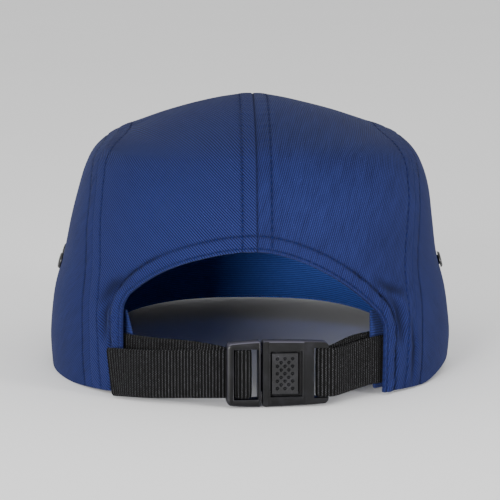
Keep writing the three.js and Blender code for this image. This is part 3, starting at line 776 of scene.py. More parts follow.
@dataclass(frozen=True)
class Webbing:
    """Black ribbed webbing: cords across its width, bound by small slanting picks."""

    name: str = "black_webbing"
    dark: tuple[float, float, float] = (0, 0, 0)
    light: tuple[float, float, float] = (92, 92, 96)
    rib: float = WEBBING_RIB
    pick: float = 0.95

    def build(self) -> bpy.types.Material:
        """Makes the material.

        Returns:
            The material.
        """
        n = Nodes(self.name)
        u, v = n.weave()
        across = u / self.rib
        rib = across.hump(2.0)
        half = (across * 2).whole() * 0.5
        slant = (across.fraction() - 0.5).size() * 0.9
        pick = (v / self.pick + half + slant).hump(1.8)
        grain = n.noise(n.place(), 1500.0, 2.0)
        tone = rib * (0.2 + pick * 0.8) + (grain - 0.5) * 0.5
        colour = n.blend(tone.between(0.72, 1.25), rgba(*self.dark), rgba(*self.light))
        bump = n.bump(rib * 0.6 + pick * 0.5 + grain * 0.3, 0.00035, 0.9)
        return n.surface(
            Base_Color=colour, Roughness=0.7, Normal=bump, Sheen_Weight=0.01, Specular_IOR_Level=0.08
        )


@dataclass(frozen=True)
class Moulded:
    """Moulded plastic with a fine spark-eroded grain, worn edges and a painted highlight on the upward faces
    of its top.
    """

    name: str
    colour: tuple[float, float, float] = (2, 2, 3)
    # The lighter colour of worn edges and of the painted highlight on upward faces, also mixed into the
    # random patches.
    wear_and_highlight_colour: tuple[float, float, float] = (62, 61, 70)
    roughness: float = 0.36
    grain: float = 0.00004

    def build(self) -> bpy.types.Material:
        """Makes the material.

        Returns:
            The material.
        """
        n = Nodes(self.name)
        fine = n.noise(n.place(), 2400.0, 2.0, 0.6)
        cloudy = n.noise(n.place(), 160.0, 2.0)
        patchy = ((cloudy - 0.4) * 0.6 + (fine - 0.5) * 0.35).between(0.0, 0.6)
        # The mesh's attribute lightens worn edges, which is wear, and the upward faces of the top, which is
        # a painted highlight.
        share = patchy * 0.4 + n.attribute("rub")
        colour = n.blend(share, rgba(*self.colour), rgba(*self.wear_and_highlight_colour))
        rough = self.roughness + (fine - 0.5) * 0.2
        bump = n.bump(fine, self.grain, 0.7)
        return n.surface(Base_Color=colour, Roughness=rough, Normal=bump, Specular_IOR_Level=0.2)


@dataclass(frozen=True)
class Enamel:
    """Black enamelled metal of the eyelets."""

    name: str = "black_enamel"

    def build(self) -> bpy.types.Material:
        """Makes the material.

        Returns:
            The material.
        """
        n = Nodes(self.name)
        worn = n.noise(n.place(), 700.0, 3.0)
        colour = n.blend(worn.between(0.62, 0.8) * 0.5, rgba(14, 14, 16), rgba(70, 72, 80))
        return n.surface(Base_Color=colour, Metallic=0.35, Roughness=0.3 + worn * 0.15, Coat_Weight=0.3)


@dataclass(frozen=True)
class Thread:
    """Twisted sewing thread in the colour of the cloth."""

    name: str = "blue_thread"

    def build(self) -> bpy.types.Material:
        """Makes the material.

        Returns:
            The material.
        """
        n = Nodes(self.name)
        twist = n.noise(n.place(), 1800.0, 1.0)
        colour = n.blend(twist, rgba(2, 6, 34), rgba(10, 20, 70))
        bump = n.bump(twist, 0.0001, 0.5)
        return n.surface(Base_Color=colour, Roughness=0.75, Normal=bump, Specular_IOR_Level=0.08)


# Making pieces


def add_piece(
    bm: bmesh.types.BMesh, name: str, material: bpy.types.Material, nodes: Sequence[str] = ()
) -> bpy.types.Object:
    """Turns a finished bmesh, in metres in the part's frame, into a piece that rides on the cap.

    Args:
        bm: The mesh, freed here.
        name: The piece's name.
        material: Its finish.
        nodes: The solids it stands for.

    Returns:
        The new object.
    """
    mesh = bpy.data.meshes.new(name)
    for face in bm.faces:
        face.smooth = True
    bm.to_mesh(mesh)
    bm.free()
    mesh.materials.append(material)
    piece = bpy.data.objects.new(name, mesh)
    bpy.context.scene.collection.objects.link(piece)
    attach(piece, "root")
    if nodes:
        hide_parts(*nodes)
    return piece


def settle(piece: bpy.types.Object, sharp: float = 50.0) -> None:
    """Puts the result of a piece's modifiers into its mesh and drops them.

    Args:
        piece: The piece.
        sharp: The angle in degrees past which an edge stays sharp.
    """
    bpy.context.view_layer.update()
    graph = bpy.context.evaluated_depsgraph_get()
    mesh = bpy.data.meshes.new_from_object(piece.evaluated_get(graph))
    mesh.name = piece.name
    piece.modifiers.clear()
    piece.data = mesh
    mesh.set_sharp_from_angle(angle=math.radians(sharp))


def thicken(
    piece: bpy.types.Object, thickness: float, round_edge: float, finishes: Sequence[bpy.types.Material]
) -> None:
    """Gives a sheet its thickness inwards and rounds its edges.

    Args:
        piece: The sheet, its faces outwards.
        thickness: In millimetres.
        round_edge: The width of the rounding, in millimetres.
        finishes: The finish of its inner face and that of its edges.
    """
    wall = piece.modifiers.new("cloth", "SOLIDIFY")
    for finish in finishes:
        piece.data.materials.append(finish)
    wall.material_offset, wall.material_offset_rim = 1, 2
    wall.thickness = thickness * MM
    wall.offset = -1
    edge = piece.modifiers.new("edge", "BEVEL")
    edge.width = round_edge * MM
    edge.segments = 2
    edge.limit_method = "ANGLE"
    edge.angle_limit = math.radians(55)


def stations(length: float, step: float, start: bool, end: bool) -> np.ndarray:
    """Where a patch has its rows, in shares, closer together beside a sewn edge.

    Args:
        length: The patch's length that way.
        step: The usual distance between rows.
        start: Whether the first edge is sewn.
        end: Whether the last edge is sewn.

    Returns:
        Rising shares from 0 to 1.
    """
    fine = np.array([0, 0.35, 0.8, 1.5, 2.4, 3.4, 4.4, 5.2, 5.7, 6.1, 6.6, 7.3, 8.2, 9.3])
    head = fine if start else fine[:1]
    tail = length - (fine if end else fine[:1])[::-1]
    count = max(2, math.ceil((tail[0] - head[-1]) / step) + 1)
    middle = np.linspace(head[-1], tail[0], count)[1:-1]
    return np.concatenate([head, middle, tail]) / length


@dataclass
class Patch:
    """Four lines that bound a panel, each run the same way as the one opposite."""

    low: Line
    high: Line
    first: Line
    last: Line
    sewn: tuple[bool, bool, bool, bool]
    step: float = 1.35

    def grid(self, form: CrownForm) -> tuple[bmesh.types.BMesh, np.ndarray]:
        """Lays a grid between the four lines, on the crown's face.

        Args:
            form: The crown's form.

        Returns:
            The mesh and its points, in the order of its vertices.
        """
        low, high, first, last = self.sewn
        across = stations(max(self.low.length, self.high.length), self.step, first, last)
        up = stations(max(self.first.length, self.last.length), self.step, low, high)
        bm = bmesh.new()
        bmesh.ops.create_grid(bm, x_segments=len(across) - 1, y_segments=len(up) - 1, size=0.5)
        flat = np.array([v.co[:2] for v in bm.verts]) + 0.5
        s = np.interp(flat[:, 0], np.linspace(0, 1, len(across)), across)
        t = np.interp(flat[:, 1], np.linspace(0, 1, len(up)), up)
        return bm, form.lay(self.spot(s, t))

    def spot(self, s: np.ndarray, t: np.ndarray) -> np.ndarray:
        """Points between the four lines.

        Args:
            s: Shares of the way from the first line to the last.
            t: Shares of the way from the low line to the high one.

        Returns:
            Rows of x, y, z.
        """
        a, b = s[:, None], t[:, None]
        low, high = self.low.at(s), self.high.at(s)
        first, last = self.first.at(t), self.last.at(t)
        corners = (self.low.points[0], self.low.points[-1], self.high.points[0], self.high.points[-1])
        plain = (1 - a) * (1 - b) * corners[0] + a * (1 - b) * corners[1]
        plain = plain + (1 - a) * b * corners[2] + a * b * corners[3]
        return (1 - b) * low + b * high + (1 - a) * first + a * last - plain


def face_out(bm: bmesh.types.BMesh, points: np.ndarray, form: CrownForm) -> None:
    """Turns a sheet's faces away from the crown's middle.

    Args:
        bm: The sheet.
        points: Its points in the crown's frame.
        form: The crown's form.
    """
    bm.faces.ensure_lookup_table()
    face = bm.faces[len(bm.faces) // 2]
    a, b, c = (points[v.index] for v in face.verts[:3])
    if np.dot(np.cross(b - a, c - a), a - form.middle) < 0:
        bmesh.ops.reverse_faces(bm, faces=bm.faces)


class Crown:
    """The five cloth panels and the lines they are sewn along."""

    # What each panel is cut to: its greatest width and length, in metres, and its area.
    cuts = {
        "front_panel": (0.199, 0.099, 0.0164),
        "left_side_panel": (0.138, 0.108, 0.0129),
        "right_side_panel": (0.138, 0.108, 0.0129),
        "left_back_panel": (0.082, 0.254, 0.0141),
        "right_back_panel": (0.082, 0.254, 0.0142),
    }
    hem_rows = (8.5, 7.6, 6.95, 6.5, 6.05, 5.3, 4.2, 3.1, 2.2, 1.7, 1.3, 0.9, 0.45, 0.0)
    side_corner = (38.0, 92.6)

    def __init__(self, size: CrownSize) -> None:
        """Draws the seams and the edge of the back opening.

        Args:
            size: The crown's sizes.
        """
        self.size = size
        self.form = CrownForm(size)
        self.side_seams = {side: self.draw_side_seam(side) for side in Side}
        self.front_top = self.draw_front_top()
        self.front_sides = {side: self.draw_front_side(side) for side in Side}
        share = float(np.interp(size.seam_x, self.front_top.points[:, 0], self.front_top.along))
        self.front_share = share / self.front_top.length
        self.centre = self.draw_centre()
        self.arch = self.draw_arch()
        self.sewn = [
            Sewn(self.centre.even(1.5), Seam.CREASED, 11, to_arch=True),
            Sewn(self.side_seams[Side.LEFT].even(1.5), Seam.PRESSED, 23, beyond=(88.0, -5.0, 40.0)),
            Sewn(self.side_seams[Side.RIGHT].even(1.5), Seam.PRESSED, 37, beyond=(-88.0, -5.0, 40.0)),
            Sewn(self.front_seam().even(1.5), Seam.CREASED, 41),
            Sewn(self.arch.even(1.0), Seam.HEM, 53, row=6.5),
        ]

    def front_y(self, z: np.ndarray) -> np.ndarray:
        """Where the front panel's seam lies at a height, seen from the side."""
        heights, reaches = zip(*FRONT_SEAM)
        return -self.size.reach * np.interp(z / self.size.height, heights, reaches)

    def draw_side_seam(self, side: Side) -> Line:
        """The side panel's edge, from the rim up its back and forward to the front panel.

        Args:
            side: Which side panel.

        Returns:
            The line on the crown.
        """
        size = self.size
        at = np.linspace(1, len(SIDE_SEAM) - 1, 2400)
        y = catmull([along * size.reach for _, along in SIDE_SEAM], at)
        z = catmull([height * size.height for height, _ in SIDE_SEAM], at)
        kept = (z > self.form.rim_lift(y)) & (y > self.front_y(z))
        y, z = y[kept], z[kept]
        return Line(self.form.hit(lambda r: np.stack([side.value * r, y, z], 1), len(y))[::4])

    def draw_front_side(self, side: Side) -> Line:
        """The front panel's seam from the rim up to the side panel's top corner.

        Args:
            side: Which side.

        Returns:
            The line on the crown.
        """
        corner = self.side_seams[side].points[-1]
        z = np.linspace(0.0, corner[2], 120)
        y = self.front_y(z)
        z = np.maximum(z, self.form.rim_lift(y))
        points = self.form.hit(lambda r: np.stack([side.value * r, y, z], 1), len(y))
        points[-1] = corner
        return Line(points)

    def draw_front_top(self) -> Line:
        """The front panel's seam over the top, from the wearer's right to the left.

        Returns:
            The seam.
        """
        low, mid = [self.side_seams[s].points[-1] for s in (Side.RIGHT, Side.LEFT)], 60.0
        turns = [math.atan2(p[2] - mid, p[0]) for p in low]
        turn = np.linspace(turns[0], turns[1], 300)

        def place(r: np.ndarray) -> np.ndarray:
            """Points of the front panel's plane at distances from its middle."""
            z = mid + r * np.sin(turn)
            return np.stack([r * np.cos(turn), self.front_y(z), z], 1)

        points = self.form.hit(place, len(turn))
        points[0], points[-1] = low
        return Line(points)

    def front_seam(self) -> Line:
        """The whole seam of the front panel, from rim to rim."""
        right, left = (self.front_sides[s].points for s in (Side.RIGHT, Side.LEFT))
        return Line(np.concatenate([right[:-1], self.front_top.points, left[::-1][1:]]))

    def draw_centre(self) -> Line:
        """The seam down the middle of the strip, from the front panel to the rim's height at the back.

        Returns:
            The seam.
        """
        x, mid = self.size.seam_x, self.form.middle[2]
        start = self.front_top.at(np.array([self.front_share]))[0]
        foot = self.form.hit(lambda r: np.stack([x + 0 * r, r, 0 * r + self.size.back_lift], 1), 1)[0]
        turns = [math.atan2(p[2] - mid, p[1]) for p in (start, foot)]
        turn = np.linspace(*turns, 500)

        def place(r: np.ndarray) -> np.ndarray:
            """Points of the seam's plane at distances from its middle."""
            return np.stack([x + 0 * r, r * np.cos(turn), mid + r * np.sin(turn)], 1)

        points = self.form.hit(place, len(turn))
        points[0], points[-1] = start, foot
        return Line(points)

    def arch_outline(self) -> np.ndarray:
        """The back opening's edge seen from behind, x and z, from the right foot over to the left one.

        Returns:
            One row for each point.
        """
        size = self.size
        base = size.arch_height - size.arch_radius
        x = size.arch_half_width - size.arch_corner
        z = base + math.sqrt((size.arch_radius - size.arch_corner) ** 2 - x**2)
        meet = math.atan2(z - base, x)
        upright = [(size.arch_half_width, h) for h in np.linspace(size.back_lift, z, 24)[:-1]]
        bend = arc((x, z), size.arch_corner, np.linspace(0, meet, 16))
        over = arc((0.0, base), size.arch_radius, np.linspace(meet, math.pi / 2, 60))
        half = np.array(upright + bend[:-1] + over)
        outline = np.concatenate([half * (-1, 1), half[::-1][1:]])
        x, z = outline.T
        past = np.maximum(-2.0 - x, 0)
        lean = size.arch_rise * smoothstep(x, 16.0, 50.0) - size.arch_sag * past**2 / (past + 10.0)
        outline[:, 1] += lean * smoothstep(z, 6.0, 34.0)
        return outline

    def draw_arch(self) -> Line:
        """The edge of the back opening, on the crown."""
        x, z = self.arch_outline().T
        return Line(self.form.hit(lambda r: np.stack([x, r, z], 1), len(x)))

    def rim(self, start: float, end: float) -> Line:
        """The rim between two angles round the crown."""
        angle = np.linspace(start, end, 240)
        return Line(self.form.point(angle, np.zeros(240)))

    def rim_angle(self, y: float) -> float:
        """The angle round the left side of the rim at a place along the cap.

        Args:
            y: The place.

        Returns:
            The angle.
        """
        zero = np.zeros(1)
        name = "back" if y > 0 else "front"
        reach = float(self.form.read(name, zero)[0]) * self.size.reach
        square = float(self.form.read("square", zero)[0])
        return math.copysign(math.asin((abs(y) / reach) ** (square / 2)), y)

    def seated(self, angle: float, side: Side) -> float:
        """An angle of the left side of the rim, on either side."""
        return angle if side is Side.LEFT else math.pi - angle

    def patches(self) -> dict[str, Patch]:
        """The outlines of the five panels, by the names of their solids.

        Returns:
            The outlines.
        """
        made = {}
        rim_low, rim_high = (False, True, True, True), (True, False, True, True)
        back, front = self.side_seams[Side.LEFT].points[0][1], self.front_y(np.zeros(1))[0]
        rear, fore = self.rim_angle(back), self.rim_angle(front)
        square = float(self.form.read("square", np.zeros(1))[0])
        reach = self.size.half_width * SECTIONS[0].side
        aside = math.asin((abs(self.size.seam_x) / reach) ** (square / 2))
        turn = math.pi / 2 - math.copysign(aside, self.size.seam_x)
        for side in Side:
            seam = self.side_seams[side]
            top = self.front_top.part(self.front_share, 1.0 if side is Side.LEFT else 0.0)
            rim = self.rim(turn, self.seated(rear, side))
            made[f"{side.word}_back_panel"] = Patch(top, rim, self.centre, seam.back(), rim_high)
            bend = np.argmin(((seam.points[:, 1:] - self.side_corner) ** 2).sum(1))
            share = float(seam.along[bend] / seam.length)
            low = self.rim(self.seated(fore, side), self.seated(rear, side))
            lines = (low, seam.part(1.0, share), self.front_sides[side], seam.part(0.0, share))
            made[f"{side.word}_side_panel"] = Patch(*lines, rim_low)
        low = self.rim(-math.pi - fore, fore)
        sides = (self.front_sides[Side.RIGHT], self.front_sides[Side.LEFT])
        made["front_panel"] = Patch(low, self.front_top, *sides, rim_low)
        return made

    def dress(self, points: np.ndarray) -> tuple[np.ndarray, np.ndarray]:
        """Lets the cloth stand and sink beside the seams, and undulate a little between them.

        Args:
            points: Points on the crown's face.

        Returns:
            The dressed points and their painted shades.
        """
        out = self.form.normal(points)
        height, shade = np.zeros(len(points)), np.zeros(len(points))
        # Each point keeps the darkest painted shade of the seams and folds beside it.
        for sewn in (*self.sewn, *FOLDS):
            rise, dark = sewn.relief(points)
            height, shade = height + rise, np.maximum(shade, dark)
        x, y, z = points.T
        wide = np.sin(x / 17 + z / 31 + 1.3) * np.sin(z / 19 - y / 23 + 0.4)
        soft = wide + 0.5 * np.sin(x / 9.5 - z / 13 + y / 21)
        height = np.clip(height, -1.7, 0.9) + 0.28 * soft
        flat = np.clip(1 - np.hypot(x, y) / 15.0, 0, 1) ** 2 * (z > 60)
        dressed = points + out * height[:, None] - np.outer(flat, (0, 0, 0.7))
        dressed[:, 2] = np.maximum(dressed[:, 2], TABLE_GAP)
        return dressed, shade

    def inside_arch(self, points: np.ndarray) -> np.ndarray:
        """Whether points of the back lie inside the opening, seen from behind.

        Args:
            points: Rows of x, y, z.

        Returns:
            One truth for each.
        """
        x, z = self.arch_outline().T
        top = np.interp(points[:, 0], x, z)
        wide = np.abs(points[:, 0]) < self.size.arch_half_width - 1e-6
        return wide & (points[:, 2] < top) & (points[:, 1] > 0)

    def hem(self, bm: bmesh.types.BMesh, points: np.ndarray) -> np.ndarray:
        """Cuts a panel's grid away beside the opening and grows rows of cloth down to its edge.

        Args:
            bm: The panel's mesh.
            points: Its points on the crown's face.

        Returns:
            The points of the new mesh.
        """
        margin = self.hem_rows[0]
        gap, _, nearest = self.arch.measure(points)
        gap = np.where(self.inside_arch(points), -gap, gap)
        near = {v: gap[v.index] < margin + 0.4 for v in bm.verts}
        place, foot = {v: points[v.index] for v in bm.verts}, {v: nearest[v.index] for v in bm.verts}
        bmesh.ops.delete(bm, geom=[f for f in bm.faces if all(near[v] for v in f.verts)], context="FACES")
        edges = [e for e in bm.edges if e.is_boundary and all(near[v] for v in e.verts)]
        for v in {v for e in edges for v in e.verts}:
            if place[v][2] < 12 and sum(e in edges for e in v.link_edges) == 1:
                foot[v] = self.arch.points[0 if place[v][0] < 0 else -1]
            way = place[v] - foot[v]
            place[v] = foot[v] + way * (margin / np.linalg.norm(way))
        for row in self.hem_rows[1:]:
            grown = bmesh.ops.extrude_edge_only(bm, edges=edges)["geom"]
            edges = [e for e in grown if isinstance(e, bmesh.types.BMEdge)]
            for v in [g for g in grown if isinstance(g, bmesh.types.BMVert)]:
                above = next(e.other_vert(v) for e in v.link_edges if e not in edges)
                foot[v] = foot[above]
                way = place[above] - foot[v]
                place[v] = foot[v] + way * (row / max(np.linalg.norm(way), 1e-6))
        bm.verts.index_update()
        found = np.array([place[v] for v in bm.verts])
        return self.form.lay(found)

    def grain(self, points: np.ndarray) -> np.ndarray:
        """Where points of the back panels lie in their cloth.

        Args:
            points: Points on the crown's face.

        Returns:
            How far each is across and down from the middle of the front panel's seam.
        """
        x, y, z = points.T
        line = self.centre.points
        apex = int(np.argmax(line[:, 2]))
        fall = np.abs(np.diff(line[:, 2])) * 1.15
        steps = np.clip(fall, 0.45 * np.diff(self.centre.along), np.diff(self.centre.along))
        run = np.concatenate([[0.0], np.cumsum(steps)])
        high, reach, far = line[apex:, 2][::-1], line[apex:, 1][::-1], run[apex:][::-1]
        onward = np.maximum.accumulate(line[:, 1])
        top = np.maximum(smoothstep(self.form.normal(points)[:, 2], 0.8, 0.98), smoothstep(-y, -20.0, 10.0))
        down = (1 - top) * np.interp(z, high, far) + top * np.interp(y, onward, run)
        level = np.hypot(x - self.size.seam_x, 0.6 * (np.interp(z, high, reach) - y))
        hoop = np.hypot(x - self.size.seam_x, 0.6 * (np.interp(y, onward, line[:, 2]) - z))
        return np.stack([np.sign(x - self.size.seam_x) * ((1 - top) * level + top * hoop), -down], 1)

    def pierce(self, bm: bmesh.types.BMesh, points: np.ndarray, holes: Sequence[np.ndarray]) -> np.ndarray:
        """Opens round holes for the eyelets in a side panel.

        Args:
            bm: The panel's mesh.
            points: Its points on the crown's face.
            holes: The middles of all the holes.

        Returns:
            The points of the new mesh.
        """
        place = {v: points[v.index] for v in bm.verts}
        for hole in holes:
            near = {v for v in bm.verts if np.linalg.norm(place[v] - hole) < self.size.eyelet_hole}
            doomed = [f for f in bm.faces if any(v in near for v in f.verts)]
            for v in {v for f in doomed for v in f.verts} - near:
                way = place[v] - hole
                place[v] = hole + way * (self.size.eyelet_hole / np.linalg.norm(way))
            bmesh.ops.delete(bm, geom=doomed, context="FACES")
        bm.verts.index_update()
        return self.form.lay(np.array([place[v] for v in bm.verts]))

    def weave(self, name: str, points: np.ndarray) -> np.ndarray:
        """The cloth coordinates of a panel, in metres, turned so that the wales run along V.

        Args:
            name: The panel's name.
            points: Its points on the crown's face.

        Returns:
            Rows of u and v.
        """
        slant, scale = {
            "left_back_panel": (-43.0, 0.92),
            "right_back_panel": (16.0, 1.0),
            "left_side_panel": (-50.0, 1.0),
            "right_side_panel": (42.0, 1.0),
            "front_panel": (45.0, 1.0),
        }[name]
        if name.endswith("back_panel"):
            flat = self.grain(points)
        elif name == "front_panel":
            flat = points[:, [0, 2]] * (-1, 1)
        else:
            flat = points[:, [1, 2]] * (math.copysign(1, points[:, 0].mean()), 1)
        turn = math.radians(slant)
        spin = np.array([[math.cos(turn), -math.sin(turn)], [math.sin(turn), math.cos(turn)]])
        return flat @ spin * scale * MM

    def panel(
        self, name: str, patch: Patch, finishes: Sequence[bpy.types.Material], holes: Sequence[np.ndarray]
    ) -> bpy.types.Object:
        """Makes one panel.

        Args:
            name: The panel's name.
            patch: Its outline.
            finishes: Its finish outside, inside and on its edges.
            holes: The middles of the eyelets' holes.

        Returns:
            The panel, its thickness and rounding not yet settled.
        """
        bm, points = patch.grid(self.form)
        face_out(bm, points, self.form)
        if name.endswith("back_panel"):
            points = self.hem(bm, points)
        elif name.endswith("side_panel"):
            points = self.pierce(bm, points, holes)
        uv = self.weave(name, points)
        dressed, shade = self.dress(points)
        # The shade attribute carries the painted shade of creases, grooves and folds to the twill.
        layer, tone = bm.loops.layers.uv.new("weave"), bm.verts.layers.float.new("shade")
        for v, at, dark in zip(bm.verts, to_frame(dressed), shade):
            v.co = at
            v[tone] = dark
        bm.verts.index_update()
        for face in bm.faces:
            for loop in face.loops:
                loop[layer].uv = uv[loop.vert.index]
        piece = add_piece(bm, f"cloth_{name}", finishes[0], [name])
        thicken(piece, self.size.cloth, 0.5, finishes[1:])
        return piece

    def build(
        self,
        cloth: bpy.types.Material,
        raked_wales: bpy.types.Material,
        others: tuple[bpy.types.Material, bpy.types.Material],
        holes: Sequence[np.ndarray],
    ) -> list[bpy.types.Object]:
        """Makes all the panels.

        Args:
            cloth: The finish of most panels.
            raked_wales: The finish of the left back panel, whose wales show most.
            others: The finish inside and that of cut edges.
            holes: The middles of the eyelets' holes.

        Returns:
            The five panels.
        """
        made = []
        for name, patch in self.patches().items():
            # The left back panel takes a copy of the twill whose wales are painted with more contrast,
            # standing in for the light raking across them.
            outer = raked_wales if name == "left_back_panel" else cloth
            piece = self.panel(name, patch, (outer, *others), holes)
            settle(piece)
            width, length, cut = self.cuts[name]
            made.append(piece)
        return made


# Stitching


@dataclass
class Stitching:
    """Rows of lockstitch along lines."""

    name: str
    length: float = 2.7
    pitch: float = 3.3
    thick: float = 0.24
    flat: float = 0.8
    raised: float = 0.05
    bm: bmesh.types.BMesh = field(default_factory=bmesh.new)

    def row(self, line: Line, out: np.ndarray) -> None:
        """Sews one row.

        Args:
            line: The line, already on the cloth.
            out: The direction out of the cloth at each of its points.
        """
        count = max(2, int(line.length / self.pitch))
        shares = (np.arange(count) + 0.5) / count
        spots = line.at(shares)
        place = shares * line.length
        ups = np.stack([np.interp(place, line.along, c) for c in out.T], 1)
        ways = line.at(np.minimum(shares + 0.002, 1)) - line.at(np.maximum(shares - 0.002, 0))
        for spot, up, way in zip(spots, ups, ways):
            along = Vector(way).normalized()
            side = Vector(up).cross(along).normalized()
            turn = Matrix((side, along, side.cross(along))).transposed().to_4x4()
            size = Matrix.Diagonal((self.thick * MM, self.length / 2 * MM, self.flat * self.thick * MM, 1))
            at = Matrix.Translation(Vector(to_frame(spot[None])[0]))
            bmesh.ops.create_icosphere(self.bm, subdivisions=1, radius=1.0, matrix=at @ turn @ size)

    def finish(self, thread: bpy.types.Material) -> bpy.types.Object:
        """Adds the rows to the cap as one piece."""
        return add_piece(self.bm, self.name, thread)


def sew_crown(crown: Crown, thread: bpy.types.Material) -> bpy.types.Object:
    """Sews the rows beside the crown's seams and round the back opening.

    Args:
        crown: The crown.
        thread: The thread's finish.

    Returns:
        All the rows as one piece.
    """
    stitching = Stitching("stitches_crown")
    for sewn in crown.sewn:
        line = sewn.line
        rows = (-sewn.row, -sewn.edge_row) if sewn.seam is Seam.HEM else (sewn.row, -sewn.row)
        if sewn.to_arch:
            gap, along, _ = line.measure(crown.arch.points)
            end = float(along[np.argmin(gap)]) / line.length
            line = line.part(0.0, end - 0.004)
        for distance in rows:
            beside = line.offset(crown.form, distance).even(1.2)
            points, _ = crown.dress(beside.points)
            out = crown.form.normal(beside.points)
            stitching.row(Line(points + out * stitching.raised), out)
    return stitching.finish(thread)


# The peak


@dataclass
class Peak:
    """The stitched peak."""

    form: CrownForm
    reach: float = 68.0
    half_width: float = 85.0
    thickness: float = 3.0
    square: float = 2.35
    clearance: float = 0.3
    rows: int = 8
    row_gap: float = 6.2
    grain: float = math.radians(45)

    def spot(self, share: np.ndarray, out: np.ndarray, height: float) -> np.ndarray:
        """Points of the peak.

        Args:
            share: From the left corner, 0, round to the right corner, 1.
            out: From the rim, 0, to the peak's edge, 1.
            height: Above its underside.

        Returns:
            Rows of x, y, z.
        """
        size = self.form.size
        corner = math.asin(size.peak_corner ** (SECTIONS[0].square / 2))
        tip = -size.peak_corner * size.reach
        angle = -math.pi + corner + share * (math.pi - 2 * corner)
        row = self.form.row_at(np.full(len(share), height / size.height))
        inner = self.form.point(angle, row, -self.clearance)
        sweep, bow = -math.pi + share * math.pi, 2 / self.square
        outer_x = np.sign(np.cos(sweep)) * np.abs(np.cos(sweep)) ** bow * self.half_width
        outer_y = tip - np.abs(np.sin(sweep)) ** bow * (size.reach + self.reach + tip)
        curl = size.peak_arch * (1 - (outer_x / self.half_width) ** 2)
        x = inner[:, 0] + (outer_x - inner[:, 0]) * out
        y = inner[:, 1] + (outer_y - inner[:, 1]) * out
        rim = self.form.rim_lift(inner[:, 1])
        return np.stack([x, y, rim + (curl - rim) * out + self.clearance + height], 1)

    def depth(self, share: np.ndarray) -> np.ndarray:
        """How far the peak reaches out from the rim, at shares of its width."""
        edge, root = self.spot(share, np.ones_like(share), 0.0), self.spot(share, 0 * share, 0.0)
        return np.linalg.norm(edge - root, axis=1)

    def groove(self, share: np.ndarray, out: np.ndarray) -> tuple[np.ndarray, np.ndarray]:
        """How the cloth sinks along the rows, and the shade painted into them.

        Args:
            share: From the left corner, 0, round to the right corner, 1.
            out: From the rim, 0, to the peak's edge, 1.

        Returns:
            Heights above the flat top, and painted shades from 0 to 1.
        """
        from_edge = (1 - out) * self.depth(share)
        nearest = np.clip(np.round(from_edge / self.row_gap), 1, self.rows) * self.row_gap
        dip = np.exp(-(((from_edge - nearest) / 0.7) ** 2))
        puff = 0.12 * ripple(share * 260 + from_edge, 9.0, 71)
        return puff - 0.28 * dip, 0.5 * dip

    def build(
        self, cloth: bpy.types.Material, edge: bpy.types.Material, thread: bpy.types.Material
    ) -> list[bpy.types.Object]:
        """Makes the peak and its rows of stitches.

        Args:
            cloth: The finish of its top and underside.
            edge: The finish of its edge.
            thread: The finish of the stitches.

        Returns:
            The peak and the stitches.
        """
        bm = bmesh.new()
        bmesh.ops.create_grid(bm, x_segments=170, y_segments=96, size=0.5)
        flat = np.array([v.co[:2] for v in bm.verts]) + 0.5
        share, out = flat[:, 0] * 0.998 + 0.001, flat[:, 1]
        top = self.spot(share, out, self.thickness)
        rise, shade = self.groove(share, out)
        top[:, 2] += rise * smoothstep(out, 0.0, 0.03)
        # The shade attribute carries the painted shade of the stitched rows to the twill.
        layer, tone = bm.loops.layers.uv.new("weave"), bm.verts.layers.float.new("shade")
        for v, at, dark in zip(bm.verts, to_frame(top), shade):
            v.co = at
            v[tone] = dark
        turn = Matrix.Rotation(-self.grain, 2)
        for face in bm.faces:
            for loop in face.loops:
                loop[layer].uv = turn @ loop.vert.co.xy
        bm.normal_update()
        if sum(f.normal.z for f in bm.faces) < 0:
            bmesh.ops.reverse_faces(bm, faces=bm.faces)
        piece = add_piece(bm, "cloth_peak", cloth, ["peak"])
        thicken(piece, self.thickness, 0.9, (cloth, edge))
        settle(piece)
        return [piece, self.sew(thread)]

    def sew(self, thread: bpy.types.Material) -> bpy.types.Object:
        """Sews the rows, on top and underneath.

        Args:
            thread: The finish of the stitches.

        Returns:
            All the rows as one piece.
        """
        stitching = Stitching("stitches_peak")
        share = np.linspace(0.004, 0.996, 260)
        depth = self.depth(share)
        for row in range(1, self.rows + 1):
            out = 1 - row * self.row_gap / depth
            kept = out > 0.02
            if kept.sum() < 8:
                continue
            for up in (1.0, -1.0):
                points = self.spot(share[kept], out[kept], self.thickness)
                rise, _ = self.groove(share[kept], out[kept])
                points[:, 2] += rise + stitching.raised * up - (self.thickness if up < 0 else 0)
                stitching.row(Line(points), np.tile((0.0, 0.0, up), (kept.sum(), 1)))
        return stitching.finish(thread)


# The sweatband


